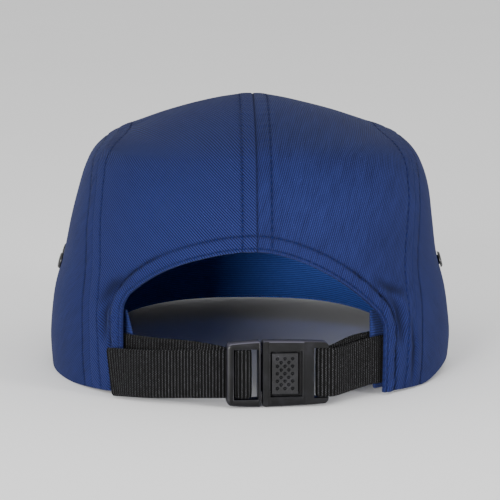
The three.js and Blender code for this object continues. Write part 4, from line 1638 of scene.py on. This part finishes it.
@dataclass
class Sweatband:
    """The tape inside the rim, open at the back."""

    form: CrownForm
    height: float = 36.0
    thickness: float = 1.3
    setback: float = 1.0
    cloth: float = 2.0
    clearance: float = 0.3
    slack: float = 0.6
    strap: float = 1.3
    tuck: float = 11.0
    tape_run: float = 560.0
    flat = (0.035, 0.457)
    # How far each end stands into the opening, by height.
    ends = {Side.LEFT: ((0, 4.6), (22, 4.6), (37, 0.8)), Side.RIGHT: ((0, 3.6), (14, 5.4), (37, 5.4))}

    def inset(self, angle: np.ndarray) -> np.ndarray:
        """How far inside the crown's face the tape's outer face lies.

        Args:
            angle: Angles round the crown.

        Returns:
            The inset at each.
        """
        x = np.abs(self.form.point(angle, 0 * angle)[:, 0])
        tucked = self.form.size.arch_half_width + self.tuck
        room = self.slack * 1.5 + self.strap + self.clearance
        share = 1 - smoothstep(x - tucked, 3.0, 15.0)
        return self.cloth + self.clearance + np.where(np.sin(angle) > 0, room * share, 0)

    def end_angle(self, z: np.ndarray, side: Side) -> np.ndarray:
        """The angles at which the tape ends, as if on the left.

        Args:
            z: Heights.
            side: Which end.

        Returns:
            One angle for each height.
        """
        heights, ledges = zip(*self.ends[side])
        x = self.form.size.arch_half_width - np.interp(z, heights, ledges)
        row = self.form.row_at(z / self.form.size.height)
        low, high = np.full(len(z), 0.3), np.full(len(z), math.pi / 2)
        for _ in range(30):
            middle = (low + high) / 2
            out = self.form.point(middle, row, self.inset(middle))[:, 0] > x
            low, high = np.where(out, middle, low), np.where(out, high, middle)
        return low

    def build(self, tape: bpy.types.Material, inside: bpy.types.Material) -> bpy.types.Object:
        """Makes the band.

        Args:
            tape: The finish of its outer face and edges.
            inside: The finish of its inner face.

        Returns:
            The band.
        """
        bm = bmesh.new()
        bmesh.ops.create_grid(bm, x_segments=300, y_segments=30, size=0.5)
        flat = np.array([v.co[:2] for v in bm.verts]) + 0.5
        z = flat[:, 1] * (self.height - self.setback)
        start, end = (self.end_angle(z, side) for side in Side)
        angle = start + (-math.pi - end - start) * flat[:, 0]
        row = self.form.row_at(z / self.form.size.height)
        points = self.form.point(angle, row, self.inset(angle))
        points[:, 2] += self.setback
        layer = bm.loops.layers.uv.new("weave")
        along = flat[:, 0] * self.tape_run
        for v, at in zip(bm.verts, to_frame(points)):
            v.co = at
        for face in bm.faces:
            for loop in face.loops:
                i = loop.vert.index
                loop[layer].uv = (along[i] * MM, z[i] * MM)
        face_out(bm, points, self.form)
        piece = add_piece(bm, "band_sweatband", tape, ["sweatband"])
        thicken(piece, self.thickness, 0.4, (inside, tape))
        settle(piece)
        return piece


# Eyelets


@dataclass(frozen=True)
class EyeletSeat:
    """Where an eyelet sits on a side panel."""

    name: str
    place: np.ndarray
    out: np.ndarray


@dataclass
class Eyelets:
    """Four rolled eyelets, two on each side panel."""

    crown: Crown
    height: float = 45.8
    back_y: float = 12.0
    spacing: float = 28.0
    hole: float = 1.5
    barrel: float = 2.1
    outer: float = 3.6
    flange: float = 1.1
    raised: float = 0.35
    cloth: float = 2.0
    clearance: float = 0.3

    def seats(self) -> list[EyeletSeat]:
        """The four seats.

        Returns:
            The seats.
        """
        form, found = self.crown.form, []
        for side in Side:
            for word, y in (("back", self.back_y), ("front", self.back_y - self.spacing)):
                at = np.array([[0.0, y, self.height]])
                place = form.hit(lambda r: at + np.stack([side.value * r, 0 * r, 0 * r], 1), 1)
                mirrored = place * (side.value, 1, 1)
                out = form.normal(mirrored)[0] * (side.value, 1, 1)
                found.append(EyeletSeat(f"eyelet_{side.word}_{word}", place[0], out))
        return found

    def profile(self) -> list[tuple[float, float]]:
        """Radius and height along the rolled edge, from the hole over the outer flange and back inside.

        Returns:
            The radii and heights.
        """
        top, low = self.raised, -self.cloth - self.clearance
        ring = (self.outer - self.hole) / 2
        mid = self.hole + ring

        def roll(way: int, level: float, count: int) -> list[tuple[float, float]]:
            """One flange's rounded edge: outwards and up for 1, inwards and down for -1."""
            turns = np.linspace(0, math.pi, count)
            return [(mid - way * ring * math.cos(a), level + way * self.flange * math.sin(a)) for a in turns]

        return [*roll(1, top, 11), (self.barrel, top), (self.barrel, low), *roll(-1, low, 9)]

    def build(self, enamel: bpy.types.Material) -> list[bpy.types.Object]:
        """Makes the four eyelets.

        Args:
            enamel: Their finish.

        Returns:
            The eyelets.
        """
        made = []
        for seat in self.seats():
            bm = bmesh.new()
            verts = [bm.verts.new((r, 0.0, h)) for r, h in self.profile()]
            edges = [bm.edges.new(pair) for pair in zip(verts, [*verts[1:], verts[0]])]
            ring = {"cent": (0, 0, 0), "axis": (0, 0, 1), "angle": 2 * math.pi, "steps": 40}
            bmesh.ops.spin(bm, geom=[*verts, *edges], use_merge=True, **ring)
            bmesh.ops.remove_doubles(bm, verts=bm.verts, dist=1e-4)
            bmesh.ops.recalc_face_normals(bm, faces=bm.faces)
            turn = Vector(seat.out).to_track_quat("Z", "Y").to_matrix().to_4x4()
            at = Matrix.Translation(Vector(to_frame(seat.place[None])[0]))
            bmesh.ops.transform(bm, matrix=at @ turn @ Matrix.Scale(MM, 4), verts=bm.verts)
            made.append(add_piece(bm, f"metal_{seat.name}", enamel, [seat.name]))
        return made


# Straps and buckle


Place = tuple[float, float, float]


def holder(bm: bmesh.types.BMesh, name: str) -> bpy.types.Object:
    """Puts a mesh into an object of its own for a while.

    Args:
        bm: The mesh, freed here.
        name: The object's name.

    Returns:
        The object, to be removed by the caller.
    """
    mesh = bpy.data.meshes.new(name)
    bm.to_mesh(mesh)
    bm.free()
    made = bpy.data.objects.new(name, mesh)
    bpy.context.scene.collection.objects.link(made)
    return made


def round_off(bm: bmesh.types.BMesh, edges: list[bmesh.types.BMEdge], offset: float, segments: int) -> None:
    """Rounds edges of a mesh.

    Args:
        bm: The mesh.
        edges: The edges.
        offset: How far the rounding reaches.
        segments: Of how many facets it is made.
    """
    bmesh.ops.bevel(
        bm, geom=edges, offset=offset, segments=segments, profile=0.5, affect="EDGES", material=-1
    )


@dataclass(frozen=True)
class BuckleSize:
    """The buckle's and the webbing's sizes."""

    height: float = 27.0
    depth: float = 6.2
    corner: float = 2.0
    taper: float = 0.9
    gap: float = 0.6
    joint_x: float = -2.4
    turn: float = math.radians(6)
    inset: float = 2.0
    adjuster: float = 14.0
    left_bar: float = 2.5
    right_bar: float = 1.4
    slot: float = 2.5
    body: float = 27.0
    body_slot: float = 0.9
    loop_start: float = 21.3
    bar_width: float = 3.0
    bar_depth: float = 1.8
    tongue_length: float = 15.0
    tongue_height: float = 15.0
    tongue_depth: float = 1.6
    tongue_back: float = 0.6
    window_start: float = 3.4
    window_length: float = 13.0
    window_height: float = 18.8
    button_recess: float = 0.4
    strap_width: float = 20.0
    strap_thickness: float = 1.3
    clearance: float = 0.3
    slack: float = 0.6
    tuck: float = 11.0
    rise: float = 2.2
    tail_past_arch: float = 6.2
    tail_droop: float = 3.0
    tail_standoff: float = 4.2
    tail_slant: float = 2.7
    wrap_corner: float = 0.3
    wrap_ease: float = 0.15
    panel: float = 2.0
    band: float = 1.3
    band_ledge: float = 5.5
    edge_soft: float = 0.25
    edge_rub: float = 0.22
    left_cut: float = 0.142
    right_cut: float = 0.106


class Closure:
    """The webbing strap and its buckle."""

    def __init__(self, form: CrownForm, size: BuckleSize) -> None:
        """Works out the layers that the webbing lies in.

        Args:
            form: The crown's outer face.
            size: The sizes of buckle and webbing.
        """
        self.form, self.size = form, size
        self.layer = size.strap_thickness + size.clearance
        self.opening = size.strap_width + 2 * size.clearance
        self.back_layer = size.clearance + size.strap_thickness / 2
        self.bar_back = size.clearance + self.layer
        self.bar_front = self.bar_back + size.bar_depth
        self.front_layer = self.bar_front + size.clearance + size.strap_thickness / 2
        self.middle_z = size.height / 2 + size.clearance
        self.row = form.row_at(np.array([0.5 * size.height / form.size.height]))
        self.origin = np.array([size.joint_x, self.curve(size.joint_x, size.inset), self.middle_z])
        self.centre_bar = size.right_bar + size.slot + self.layer
        self.end_bar = size.adjuster - size.left_bar
        self.loop_bar = size.loop_start + size.body_slot + self.layer
        self.tongue_back = (size.depth - size.tongue_depth) / 2 - size.tongue_back

    def curve(self, x: float, inset: float) -> float:
        """How far back the crown reaches at the strap's height.

        Args:
            x: A place across the crown.
            inset: How far inside its face.

        Returns:
            The place along the crown.
        """
        crown = self.form.size
        square = float(self.form.read("square", self.row)[0])
        across = abs(x) / ((crown.half_width - inset) * float(self.form.read("side", self.row)[0]))
        back = (crown.reach - inset) * float(self.form.read("back", self.row)[0])
        return back * (1 - across**square) ** (1 / square)

    def crown_stop(self, x: float, inset: float, above: float) -> tuple[float, float, float]:
        """A stop of the webbing beside the crown."""
        return (x, self.curve(x, inset), self.middle_z + above)

    def buckle_stop(self, u: float, depth: float, above: float = 0.0) -> tuple[float, float, float]:
        """A stop of the webbing inside the buckle.

        Args:
            u: How far along the buckle from its middle.
            depth: How far out from its back.
            above: How far above its middle.

        Returns:
            The stop.
        """
        c, s = math.cos(self.size.turn), math.sin(self.size.turn)
        x, y, z = self.origin
        return (x + u * c - depth * s, y + u * s + depth * c, z + above)

    def left_route(self) -> list[tuple[float, float, float]]:
        """From the sewn end, behind the bars, round the centre bar and out again as the free tail.

        Returns:
            The strap's stops.
        """
        s = self.size
        wrap = self.centre_bar - s.clearance - s.strap_thickness / 2
        bar = (self.bar_back + self.bar_front) / 2
        under = self.bar_back + s.strap_thickness / 2
        edge = self.form.size.arch_half_width
        pocket = s.panel + s.clearance + s.slack + s.strap_thickness / 2
        end = self.centre_bar + s.bar_width
        crown, buckle = self.crown_stop, self.buckle_stop
        return [
            crown(edge + s.tuck, pocket, s.rise),
            crown(edge + s.tuck / 2, pocket, s.rise),
            crown(edge, pocket, s.rise),
            crown(edge * 0.75, pocket - 0.3, s.rise * 0.95),
            crown(edge * 0.5, pocket - 1, s.rise),
            buckle(s.adjuster + 3, self.back_layer, s.rise * 0.65),
            buckle(s.adjuster - 2, self.back_layer),
            buckle(end, self.back_layer),
            buckle(self.centre_bar + 0.8, self.back_layer),
            buckle(wrap + s.wrap_corner, (self.back_layer + bar) / 2 - s.wrap_ease),
            buckle(wrap, bar),
            buckle(wrap + s.wrap_corner, (self.front_layer + bar) / 2 + s.wrap_ease),
            buckle(self.centre_bar + 0.8, self.front_layer),
            buckle(end - 0.5, self.front_layer + 0.05),
            buckle((end + self.end_bar) / 2, (self.front_layer + under) / 2),
            buckle(self.end_bar + 0.5, under),
            buckle(s.adjuster + 1.5, under),
            crown(edge * 0.5, -s.tail_standoff * 0.35, -s.tail_droop * 0.3),
            crown(edge * 0.8, -s.tail_standoff * 0.7, -s.tail_droop * 0.65),
            crown(edge + s.tail_past_arch, -s.tail_standoff, -s.tail_droop),
        ]

    def right_route(self) -> list[tuple[float, float, float]]:
        """Two legs, the outer one sewn between panel and band, the inner one behind the band's end.

        Returns:
            The strap's stops.
        """
        s = self.size
        wrap = self.loop_bar - s.clearance - s.strap_thickness / 2
        bar = (self.bar_back + self.bar_front) / 2
        edge = self.form.size.arch_half_width
        pocket = s.panel + s.clearance + s.slack + s.strap_thickness / 2
        end = edge - s.band_ledge
        behind = pocket + 2 * s.slack + s.strap_thickness + s.band + 2 * s.clearance
        high = s.rise * 0.5
        past = self.loop_bar + s.bar_width
        crown, buckle = self.crown_stop, self.buckle_stop
        return [
            crown(-edge - s.tuck, pocket, high),
            crown(-edge - s.tuck / 2, pocket, high),
            crown(-edge, pocket, high),
            crown(-edge * 0.88, pocket - 0.6, high),
            crown(-edge * 0.74, pocket - 2.6, high * 0.2),
            buckle(-s.body - 2.5, self.front_layer - 0.3, 0.0),
            buckle(-past, self.front_layer),
            buckle(-self.loop_bar - 0.8, self.front_layer),
            buckle(-wrap - s.wrap_corner, (self.front_layer + bar) / 2 + s.wrap_ease),
            buckle(-wrap, bar),
            buckle(-wrap - s.wrap_corner, (self.back_layer + bar) / 2 - s.wrap_ease),
            buckle(-self.loop_bar - 0.8, self.back_layer),
            buckle(-past, self.back_layer),
            crown(-edge * 0.74, pocket + 0.9, high + 1.4),
            crown(-end, behind, high + 1.3),
            crown(-end - s.band_ledge, behind, high + 1),
            crown(-end - 2 * s.band_ledge, behind, high + 1),
        ]

    def route_line(self, stops: Sequence[tuple[float, float, float]]) -> Line:
        """The smooth line through the stops, its speed eased where stops lie close.

        Args:
            stops: The stops.

        Returns:
            The line, finely.
        """
        p = np.array(stops, float)
        p = np.concatenate([[2 * p[0] - p[1]], p, [2 * p[-1] - p[-2]]])
        found = []
        for i in range(1, len(p) - 2):
            a, b, c, d = p[i - 1 : i + 3]
            ab, bc, cd = (math.sqrt(np.linalg.norm(k)) for k in (b - a, c - b, d - c))
            out = ((b - a) / ab - (c - a) / (ab + bc) + (c - b) / bc) * bc
            into = ((c - b) / bc - (d - b) / (bc + cd) + (d - c) / cd) * bc
            t = np.linspace(0, 1, 24, endpoint=False)[:, None]
            cubic = (2 * b - 2 * c + out + into) * t**3 + (-3 * b + 3 * c - 2 * out - into) * t**2
            found.append(cubic + out * t + b)
        found.append(p[-2:-1])
        return Line(np.concatenate(found))

    def webbing(
        self, name: str, node: str, line: Line, length: float, slant: float, finish: bpy.types.Material
    ) -> bpy.types.Object:
        """Makes one strap: ribs across its width, rounded selvedges and cut ends.

        Args:
            name: The piece's name.
            node: The solid it stands for.
            line: Its middle line.
            length: What it was cut to, in metres; not used.
            slant: How much shorter its far end is at the bottom.
            finish: Its material.

        Returns:
            The strap.
        """
        size = self.size
        steps, around = int(line.length / 0.24), 34
        bm = bmesh.new()
        bmesh.ops.create_grid(bm, x_segments=steps, y_segments=around, size=0.5)
        flat = np.array([v.co[:2] for v in bm.verts]) + 0.5
        u = flat[:, 0] * line.length
        turn = flat[:, 1] * 2 * math.pi
        half_w, half_t = size.strap_width / 2, size.strap_thickness / 2
        up = half_w * np.sign(np.cos(turn)) * np.abs(np.cos(turn)) ** 0.75
        edge = np.clip(1 - (np.abs(up) / half_w) ** 14, 0, 1)
        phase = u / WEBBING_RIB
        ridge = 1 - np.abs(2 * (phase - np.floor(phase)) - 1) ** 2.2
        thick = (half_t - 0.13 + 0.2 * ridge) * edge ** 0.5
        off = np.where(np.sin(turn) >= 0, 1.0, -1.0) * thick
        centre, nudge = line.at(flat[:, 0]), 0.4 / line.length
        ahead = line.at(np.clip(flat[:, 0] + nudge, 0, 1)) - line.at(np.clip(flat[:, 0] - nudge, 0, 1))
        ahead[:, 2] = 0
        ahead /= np.linalg.norm(ahead, axis=1, keepdims=True)
        shorter = slant * (0.5 - up / size.strap_width) * smoothstep(flat[:, 0], 1 - 14 / line.length, 1)
        rounded = 0.5 * smoothstep(np.abs(up), half_w - 1.6, half_w) ** 2
        cut = rounded * (flat[:, 0] > 1 - 2.4 / line.length) * (slant > 0)
        x = centre[:, 0] - ahead[:, 1] * off - ahead[:, 0] * (shorter + cut)
        y = centre[:, 1] + ahead[:, 0] * off - ahead[:, 1] * (shorter + cut)
        points = np.stack([x, y, centre[:, 2] + up], 1)
        layer = bm.loops.layers.uv.new("weave")
        for v, at in zip(bm.verts, to_frame(points)):
            v.co = at
        for face in bm.faces:
            for loop in face.loops:
                i = loop.vert.index
                loop[layer].uv = (u[i] * MM, up[i] * MM)
        bmesh.ops.remove_doubles(bm, verts=bm.verts, dist=2e-6)
        bmesh.ops.holes_fill(bm, edges=[e for e in bm.edges if e.is_boundary], sides=0)
        bmesh.ops.recalc_face_normals(bm, faces=bm.faces)
        piece = add_piece(bm, name, finish, [node])
        piece.data.set_sharp_from_angle(angle=math.radians(60))
        return piece

    def slab(self, length: float) -> bmesh.types.BMesh:
        """A half's outer block: tapering, its far corners round and all its edges softened.

        Args:
            length: From the joint, to the wearer's left where it is above 0.

        Returns:
            The block, in the buckle's frame.
        """
        size, way = self.size, math.copysign(1, length)
        bm = bmesh.new()
        bmesh.ops.create_cube(bm, size=1.0)
        long = [e for e in bm.edges if abs(e.verts[0].co.x - e.verts[1].co.x) > 0.5]
        bmesh.ops.subdivide_edges(bm, edges=long, cuts=int(abs(length) / 4), use_grid_fill=True)
        for v in bm.verts:
            share = v.co.x * way + 0.5
            tall = size.height / 2 - size.taper * share**1.7
            v.co = (way * size.gap / 2 + length * share, (v.co.y + 0.5) * size.depth, 2 * v.co.z * tall)
        tall = [e for e in bm.edges if abs(e.verts[0].co.y - e.verts[1].co.y) > 1]
        upright = [e for e in tall if e.calc_face_angle(0) > 1]
        for reach, offset, segments in ((abs(length) - 1, size.corner, 6), (0, 0.9, 2)):
            ends = [e for e in upright if e.is_valid and abs(e.verts[0].co.x) > reach]
            round_off(bm, ends, offset, segments)
        round_off(bm, [e for e in bm.edges if e.calc_face_angle(0) > 0.9], 1.0, 3)
        return bm

    def block(self, low: Place, high: Place, soft: float = 0.0) -> bmesh.types.BMesh:
        """A block between two corners.

        Args:
            low: Its lowest corner.
            high: Its highest corner.
            soft: How far its edges are rounded.

        Returns:
            The block, in the buckle's frame.
        """
        bm = bmesh.new()
        bmesh.ops.create_cube(bm, size=1.0)
        a, b = Vector(low), Vector(high)
        for v in bm.verts:
            v.co = Vector(tuple(a[i] + (b[i] - a[i]) * (v.co[i] + 0.5) for i in range(3)))
        if soft > 0:
            round_off(bm, bm.edges[:], soft, 3)
        return bm

    def place(self, bm: bmesh.types.BMesh) -> None:
        """Sets a mesh of the buckle's frame down in the part's frame.

        Args:
            bm: The mesh.
        """
        turn = Matrix.Rotation(self.size.turn, 4, "Z")
        at = Matrix.Translation(Vector(to_frame(self.origin[None])[0]))
        bmesh.ops.transform(bm, matrix=at @ turn @ Matrix.Scale(MM, 4), verts=bm.verts)

    def combine(
        self, base: bmesh.types.BMesh, cuts: list[bmesh.types.BMesh], adds: list[bmesh.types.BMesh]
    ) -> bmesh.types.BMesh:
        """Cuts blocks from a base and joins others to it.

        Args:
            base: The base block.
            cuts: What is cut away.
            adds: What is joined on.

        Returns:
            The result, in the buckle's frame.
        """
        target = holder(base, "base")
        helpers = []
        for bm, kind in [*((c, "DIFFERENCE") for c in cuts), *((a, "UNION") for a in adds)]:
            tool = holder(bm, "tool")
            helpers.append(tool)
            step = target.modifiers.new(kind, "BOOLEAN")
            step.operation, step.object, step.solver = kind, tool, "EXACT"
        bpy.context.view_layer.update()
        graph = bpy.context.evaluated_depsgraph_get()
        mesh = target.evaluated_get(graph).to_mesh()
        made = bmesh.new()
        made.from_mesh(mesh)
        for helper in [target, *helpers]:
            bpy.data.objects.remove(helper, do_unlink=True)
        return made

    def soften(self, piece: bpy.types.Object, width: float) -> None:
        """Rounds a rigid piece's remaining edges a little, and marks its worn edges and, as a painted
        highlight, the upward faces of its top.

        Args:
            piece: The piece.
            width: The rounding's width.
        """
        edge = piece.modifiers.new("edge", "BEVEL")
        edge.width = width * MM
        edge.segments = 2
        edge.limit_method = "ANGLE"
        edge.angle_limit = math.radians(40)
        settle(piece, 35)
        mesh = piece.data
        rub = mesh.attributes.new("rub", "FLOAT", "FACE")
        c, s = math.cos(self.size.turn), math.sin(self.size.turn)
        out = np.array([f.normal for f in mesh.polygons]) @ np.array([(c, -s, 0), (s, c, 0), (0, 0, 1)])
        # Painted highlight: the upward faces above the webbing's top edge are marked lighter, as if lit from
        # above; worn marks wear along the edges.
        high = (self.middle_z + self.size.strap_width / 2) * MM
        top = np.array([f.center.z for f in mesh.polygons]) > high
        worn = self.size.edge_rub * (1 - smoothstep(np.abs(out).max(1), 0.9, 0.985))
        rub.data.foreach_set("value", np.maximum(np.where(top, smoothstep(out[:, 2], 0.25, 0.8), 0.0), worn))

    def bar(self, start: float, sunk: float) -> bmesh.types.BMesh:
        """A bar for the webbing.

        Args:
            start: Where it starts along the buckle.
            sunk: How far its ends reach into the frame.

        Returns:
            The bar, in the buckle's frame.
        """
        half = self.opening / 2 + sunk
        low, high = (start, self.bar_back, -half), (start + self.size.bar_width, self.bar_front, half)
        return self.block(low, high, 0.4)

    def adjuster(self, plastic: bpy.types.Material) -> bpy.types.Object:
        """Makes the half with the bars and the tongue.

        Args:
            plastic: Its finish.

        Returns:
            The half.
        """
        s = self.size
        half = self.opening / 2
        window = self.block((s.right_bar, -1, -half), (self.end_bar, s.depth + 1, half))
        level = self.bar_back + self.layer
        under = self.block((self.end_bar - 1, -1, -half), (s.adjuster + 2, level, half))
        bar = self.bar(self.centre_bar, 1.5)
        tongue = self.block(
            (-s.tongue_length, self.tongue_back, -s.tongue_height / 2),
            (s.right_bar / 2, self.tongue_back + s.tongue_depth, s.tongue_height / 2),
            0.2,
        )
        bm = self.combine(self.slab(s.adjuster), [window, under], [bar, tongue])
        self.place(bm)
        piece = add_piece(bm, "plastic_adjuster", plastic, ["buckle_adjuster"])
        self.soften(piece, s.edge_soft)
        return piece

    def body(self, plastic: bpy.types.Material) -> bpy.types.Object:
        """Makes the half with the button's window and the strap loop.

        Args:
            plastic: Its finish.

        Returns:
            The half.
        """
        s = self.size
        half, front = self.opening / 2, self.tongue_back + s.tongue_depth
        tall, room = s.window_height / 2, s.tongue_height / 2 + s.clearance
        window_end = -s.window_start - s.window_length
        window = self.block((window_end, front, -tall), (-s.window_start, s.depth + 1, tall))
        hollow = self.block(
            (-s.tongue_length - s.clearance, self.tongue_back - s.clearance, -room),
            (1, front + s.clearance, room),
        )
        loop = self.block((-s.body - 2, -1, -half), (-s.loop_start, s.depth + 1, half))
        lower = self.block((-s.body - 2, s.depth - 0.5, -20), (window_end - 0.8, s.depth + 2, 20))
        step = self.block((-s.window_start + 0.5, s.depth - 0.4, -20), (1, s.depth + 2, 20))
        bar = self.bar(-self.loop_bar - s.bar_width, 1.2)
        bm = self.combine(self.slab(-s.body), [window, hollow, loop, lower, step], [bar])
        self.place(bm)
        piece = add_piece(bm, "plastic_body", plastic, ["buckle_body"])
        self.soften(piece, s.edge_soft)
        return piece

    def button(self, plastic: bpy.types.Material) -> bpy.types.Object:
        """Makes the release button, its face dimpled in staggered columns.

        Args:
            plastic: Its finish.

        Returns:
            The button.
        """
        s = self.size
        back = self.tongue_back + s.tongue_depth + s.clearance
        length = s.window_length - 2.6
        height = s.window_height - 2.2
        face = s.depth - s.button_recess
        middle = -s.window_start - s.window_length / 2 + 0.5
        bm = bmesh.new()
        bmesh.ops.create_grid(bm, x_segments=66, y_segments=100, size=0.5)
        dimples = [
            (middle - 3.1 + 1.55 * column, -6.1 + 3.05 * row + (1.525 if column % 2 else 0))
            for column in range(5)
            for row in range(5 if column % 2 == 0 else 4)
        ]
        spots = np.array(dimples)
        for v in bm.verts:
            u, h = middle + v.co.x * length, v.co.y * height
            gap = float(np.sqrt(((spots - (u, h)) ** 2).sum(1)).min())
            sink = 0.95 * max(0.0, 1 - (gap / 0.7) ** 2)
            slope = 0.35 * (0.5 + v.co.x)
            v.co = (u, face - sink - slope, h)
        edges = [e for e in bm.edges if e.is_boundary]
        chamfer, near = 0.12, 1e-5
        for step in ("chamfer", "wall"):
            grown = bmesh.ops.extrude_edge_only(bm, edges=edges)["geom"]
            edges = [e for e in grown if isinstance(e, bmesh.types.BMEdge)]
            for v in (g for g in grown if isinstance(g, bmesh.types.BMVert)):
                if step == "wall":
                    v.co.y = back
                    continue
                aside = v.co.x - middle
                v.co.y -= chamfer
                v.co.x += math.copysign(chamfer, aside) * (abs(abs(aside) - length / 2) < near)
                v.co.z += math.copysign(chamfer, v.co.z) * (abs(abs(v.co.z) - height / 2) < near)
        bmesh.ops.holes_fill(bm, edges=[e for e in bm.edges if e.is_boundary], sides=0)
        bmesh.ops.recalc_face_normals(bm, faces=bm.faces)
        self.place(bm)
        piece = add_piece(bm, "plastic_button", plastic, ["release_button"])
        piece.data.set_sharp_from_angle(angle=math.radians(50))
        return piece

    def build(
        self, webbing: bpy.types.Material, plastic: bpy.types.Material, pad: bpy.types.Material
    ) -> list[bpy.types.Object]:
        """Makes the straps and the three pieces of the buckle.

        Args:
            webbing: The straps' finish.
            plastic: The finish of both halves.
            pad: The finish of the button.

        Returns:
            The five pieces.
        """
        left, right = self.route_line(self.left_route()), self.route_line(self.right_route())
        s = self.size
        return [
            self.webbing("webbing_left", "strap_left", left, s.left_cut, s.tail_slant, webbing),
            self.webbing("webbing_right", "strap_right", right, s.right_cut, 0.0, webbing),
            self.adjuster(plastic),
            self.body(plastic),
            self.button(pad),
        ]


# The studio


@dataclass
class Studio:
    """Floor, light and camera."""

    target: tuple[float, float, float] = (0.0, 0.033, 0.0487)
    eye_over: tuple[float, float, float] = (0.0, 0.033, 0.06)
    distance: float = 1.1
    elevation: float = 8.0
    aside: float = 1.0
    lens: float = 179.3

    def camera(self) -> None:
        """Sets the camera behind the cap, a little above it."""
        data = bpy.data.cameras.new("camera")
        data.lens, data.sensor_width, data.clip_end = self.lens, 36.0, 100.0
        eye = bpy.data.objects.new("camera", data)
        up, turn = math.radians(self.elevation), math.radians(self.aside)
        way = Vector((math.sin(turn) * math.cos(up), math.cos(turn) * math.cos(up), math.sin(up)))
        eye.location = Vector(self.eye_over) + way * self.distance
        eye.rotation_euler = (Vector(self.target) - eye.location).to_track_quat("-Z", "Y").to_euler()
        bpy.context.scene.collection.objects.link(eye)
        bpy.context.scene.camera = eye

    def lamp(self, name: str, place: Place, size: float, power: float) -> None:
        """Adds a square soft lamp that faces the cap.

        Args:
            name: Its name.
            place: Where it hangs, in metres.
            size: Its width, in metres.
            power: In watts.
        """
        data = bpy.data.lights.new(name, "AREA")
        data.size, data.energy, data.shape = size, power, "SQUARE"
        lamp = bpy.data.objects.new(name, data)
        lamp.location = place
        lamp.rotation_euler = (Vector((0, 0.03, 0.05)) - lamp.location).to_track_quat("-Z", "Y").to_euler()
        bpy.context.scene.collection.objects.link(lamp)

    def floor(self) -> None:
        """Lays a pale floor."""
        bm = bmesh.new()
        bmesh.ops.create_grid(bm, x_segments=1, y_segments=1, size=12.0)
        mesh = bpy.data.meshes.new("floor")
        bm.to_mesh(mesh)
        bm.free()
        n = Nodes("floor")
        mottled = n.noise(n.place(), 3.0, 1.0)
        paper = n.blend(mottled, (0.86, 0.86, 0.86, 1), (0.88, 0.88, 0.88, 1))
        mesh.materials.append(n.surface(Base_Color=paper, Roughness=0.9))
        floor = bpy.data.objects.new("floor", mesh)
        bpy.context.scene.collection.objects.link(floor)

    def sky(self) -> None:
        """Lights the scene evenly all round."""
        world = bpy.data.worlds.new("sky")
        world.use_nodes = True
        background = world.node_tree.nodes["Background"]
        background.inputs["Color"].default_value = (1, 1, 1, 1)
        background.inputs["Strength"].default_value = 1.0
        bpy.context.scene.world = world

    def build(self) -> None:
        """Sets up the studio."""
        self.camera()
        self.floor()
        self.sky()
        self.lamp("key", (0.8, 1.6, 0.4), 0.7, 24.0)
        self.lamp("fill", (-1.3, 1.1, 0.24), 0.45, 28.0)
        self.lamp("low", (0.5, 1.6, 0.16), 0.3, 32.0)
        self.lamp("top", (0.0, 0.3, 1.6), 1.2, 3.0)


def main() -> None:
    """Builds the cap piece by piece."""
    logging.basicConfig(level=logging.INFO, format="%(message)s")
    Studio().build()
    cloth, thread = Twill().build(), Thread().build()
    edge = Twill("blue_twill_edge", depth=0.15).build()
    crown = Crown(CrownSize())
    eyelets = Eyelets(crown)
    # The panels' inner faces take a lighter copy of the twill, painted lighter to stand in for light in the
    # shaded inside of the crown.
    inside = Twill("blue_twill_inside", (12, 22, 72), (58, 84, 165)).build()
    # A copy of the twill with stronger wales, painted to stand in for the light raking across the left back
    # panel.
    raked_wales = Twill("blue_twill_bias", depth=1.75).build()
    pieces = crown.build(cloth, raked_wales, (inside, edge), [seat.place for seat in eyelets.seats()])
    pieces.append(sew_crown(crown, thread))
    pieces += eyelets.build(Enamel().build())
    pieces += Peak(crown.form).build(cloth, edge, thread)
    # The band's inner face takes a lighter copy of the tape, painted lighter to stand in for light in the
    # shaded inside of the crown.
    inner_tape = Tape("ribbed_tape_inside", (8, 16, 60), (44, 64, 130)).build()
    pieces.append(Sweatband(crown.form).build(Tape().build(), inner_tape))
    plastic = Moulded("black_plastic").build()
    pad = Moulded("grey_plastic", (10, 10, 12), (68, 66, 74), 0.6, 0.00012).build()
    pieces += Closure(crown.form, BuckleSize()).build(Webbing().build(), plastic, pad)
    for piece in pieces:
        LOG.info("%s: %d faces", piece.name, len(piece.data.polygons))


if __name__ == "__main__":
    main()
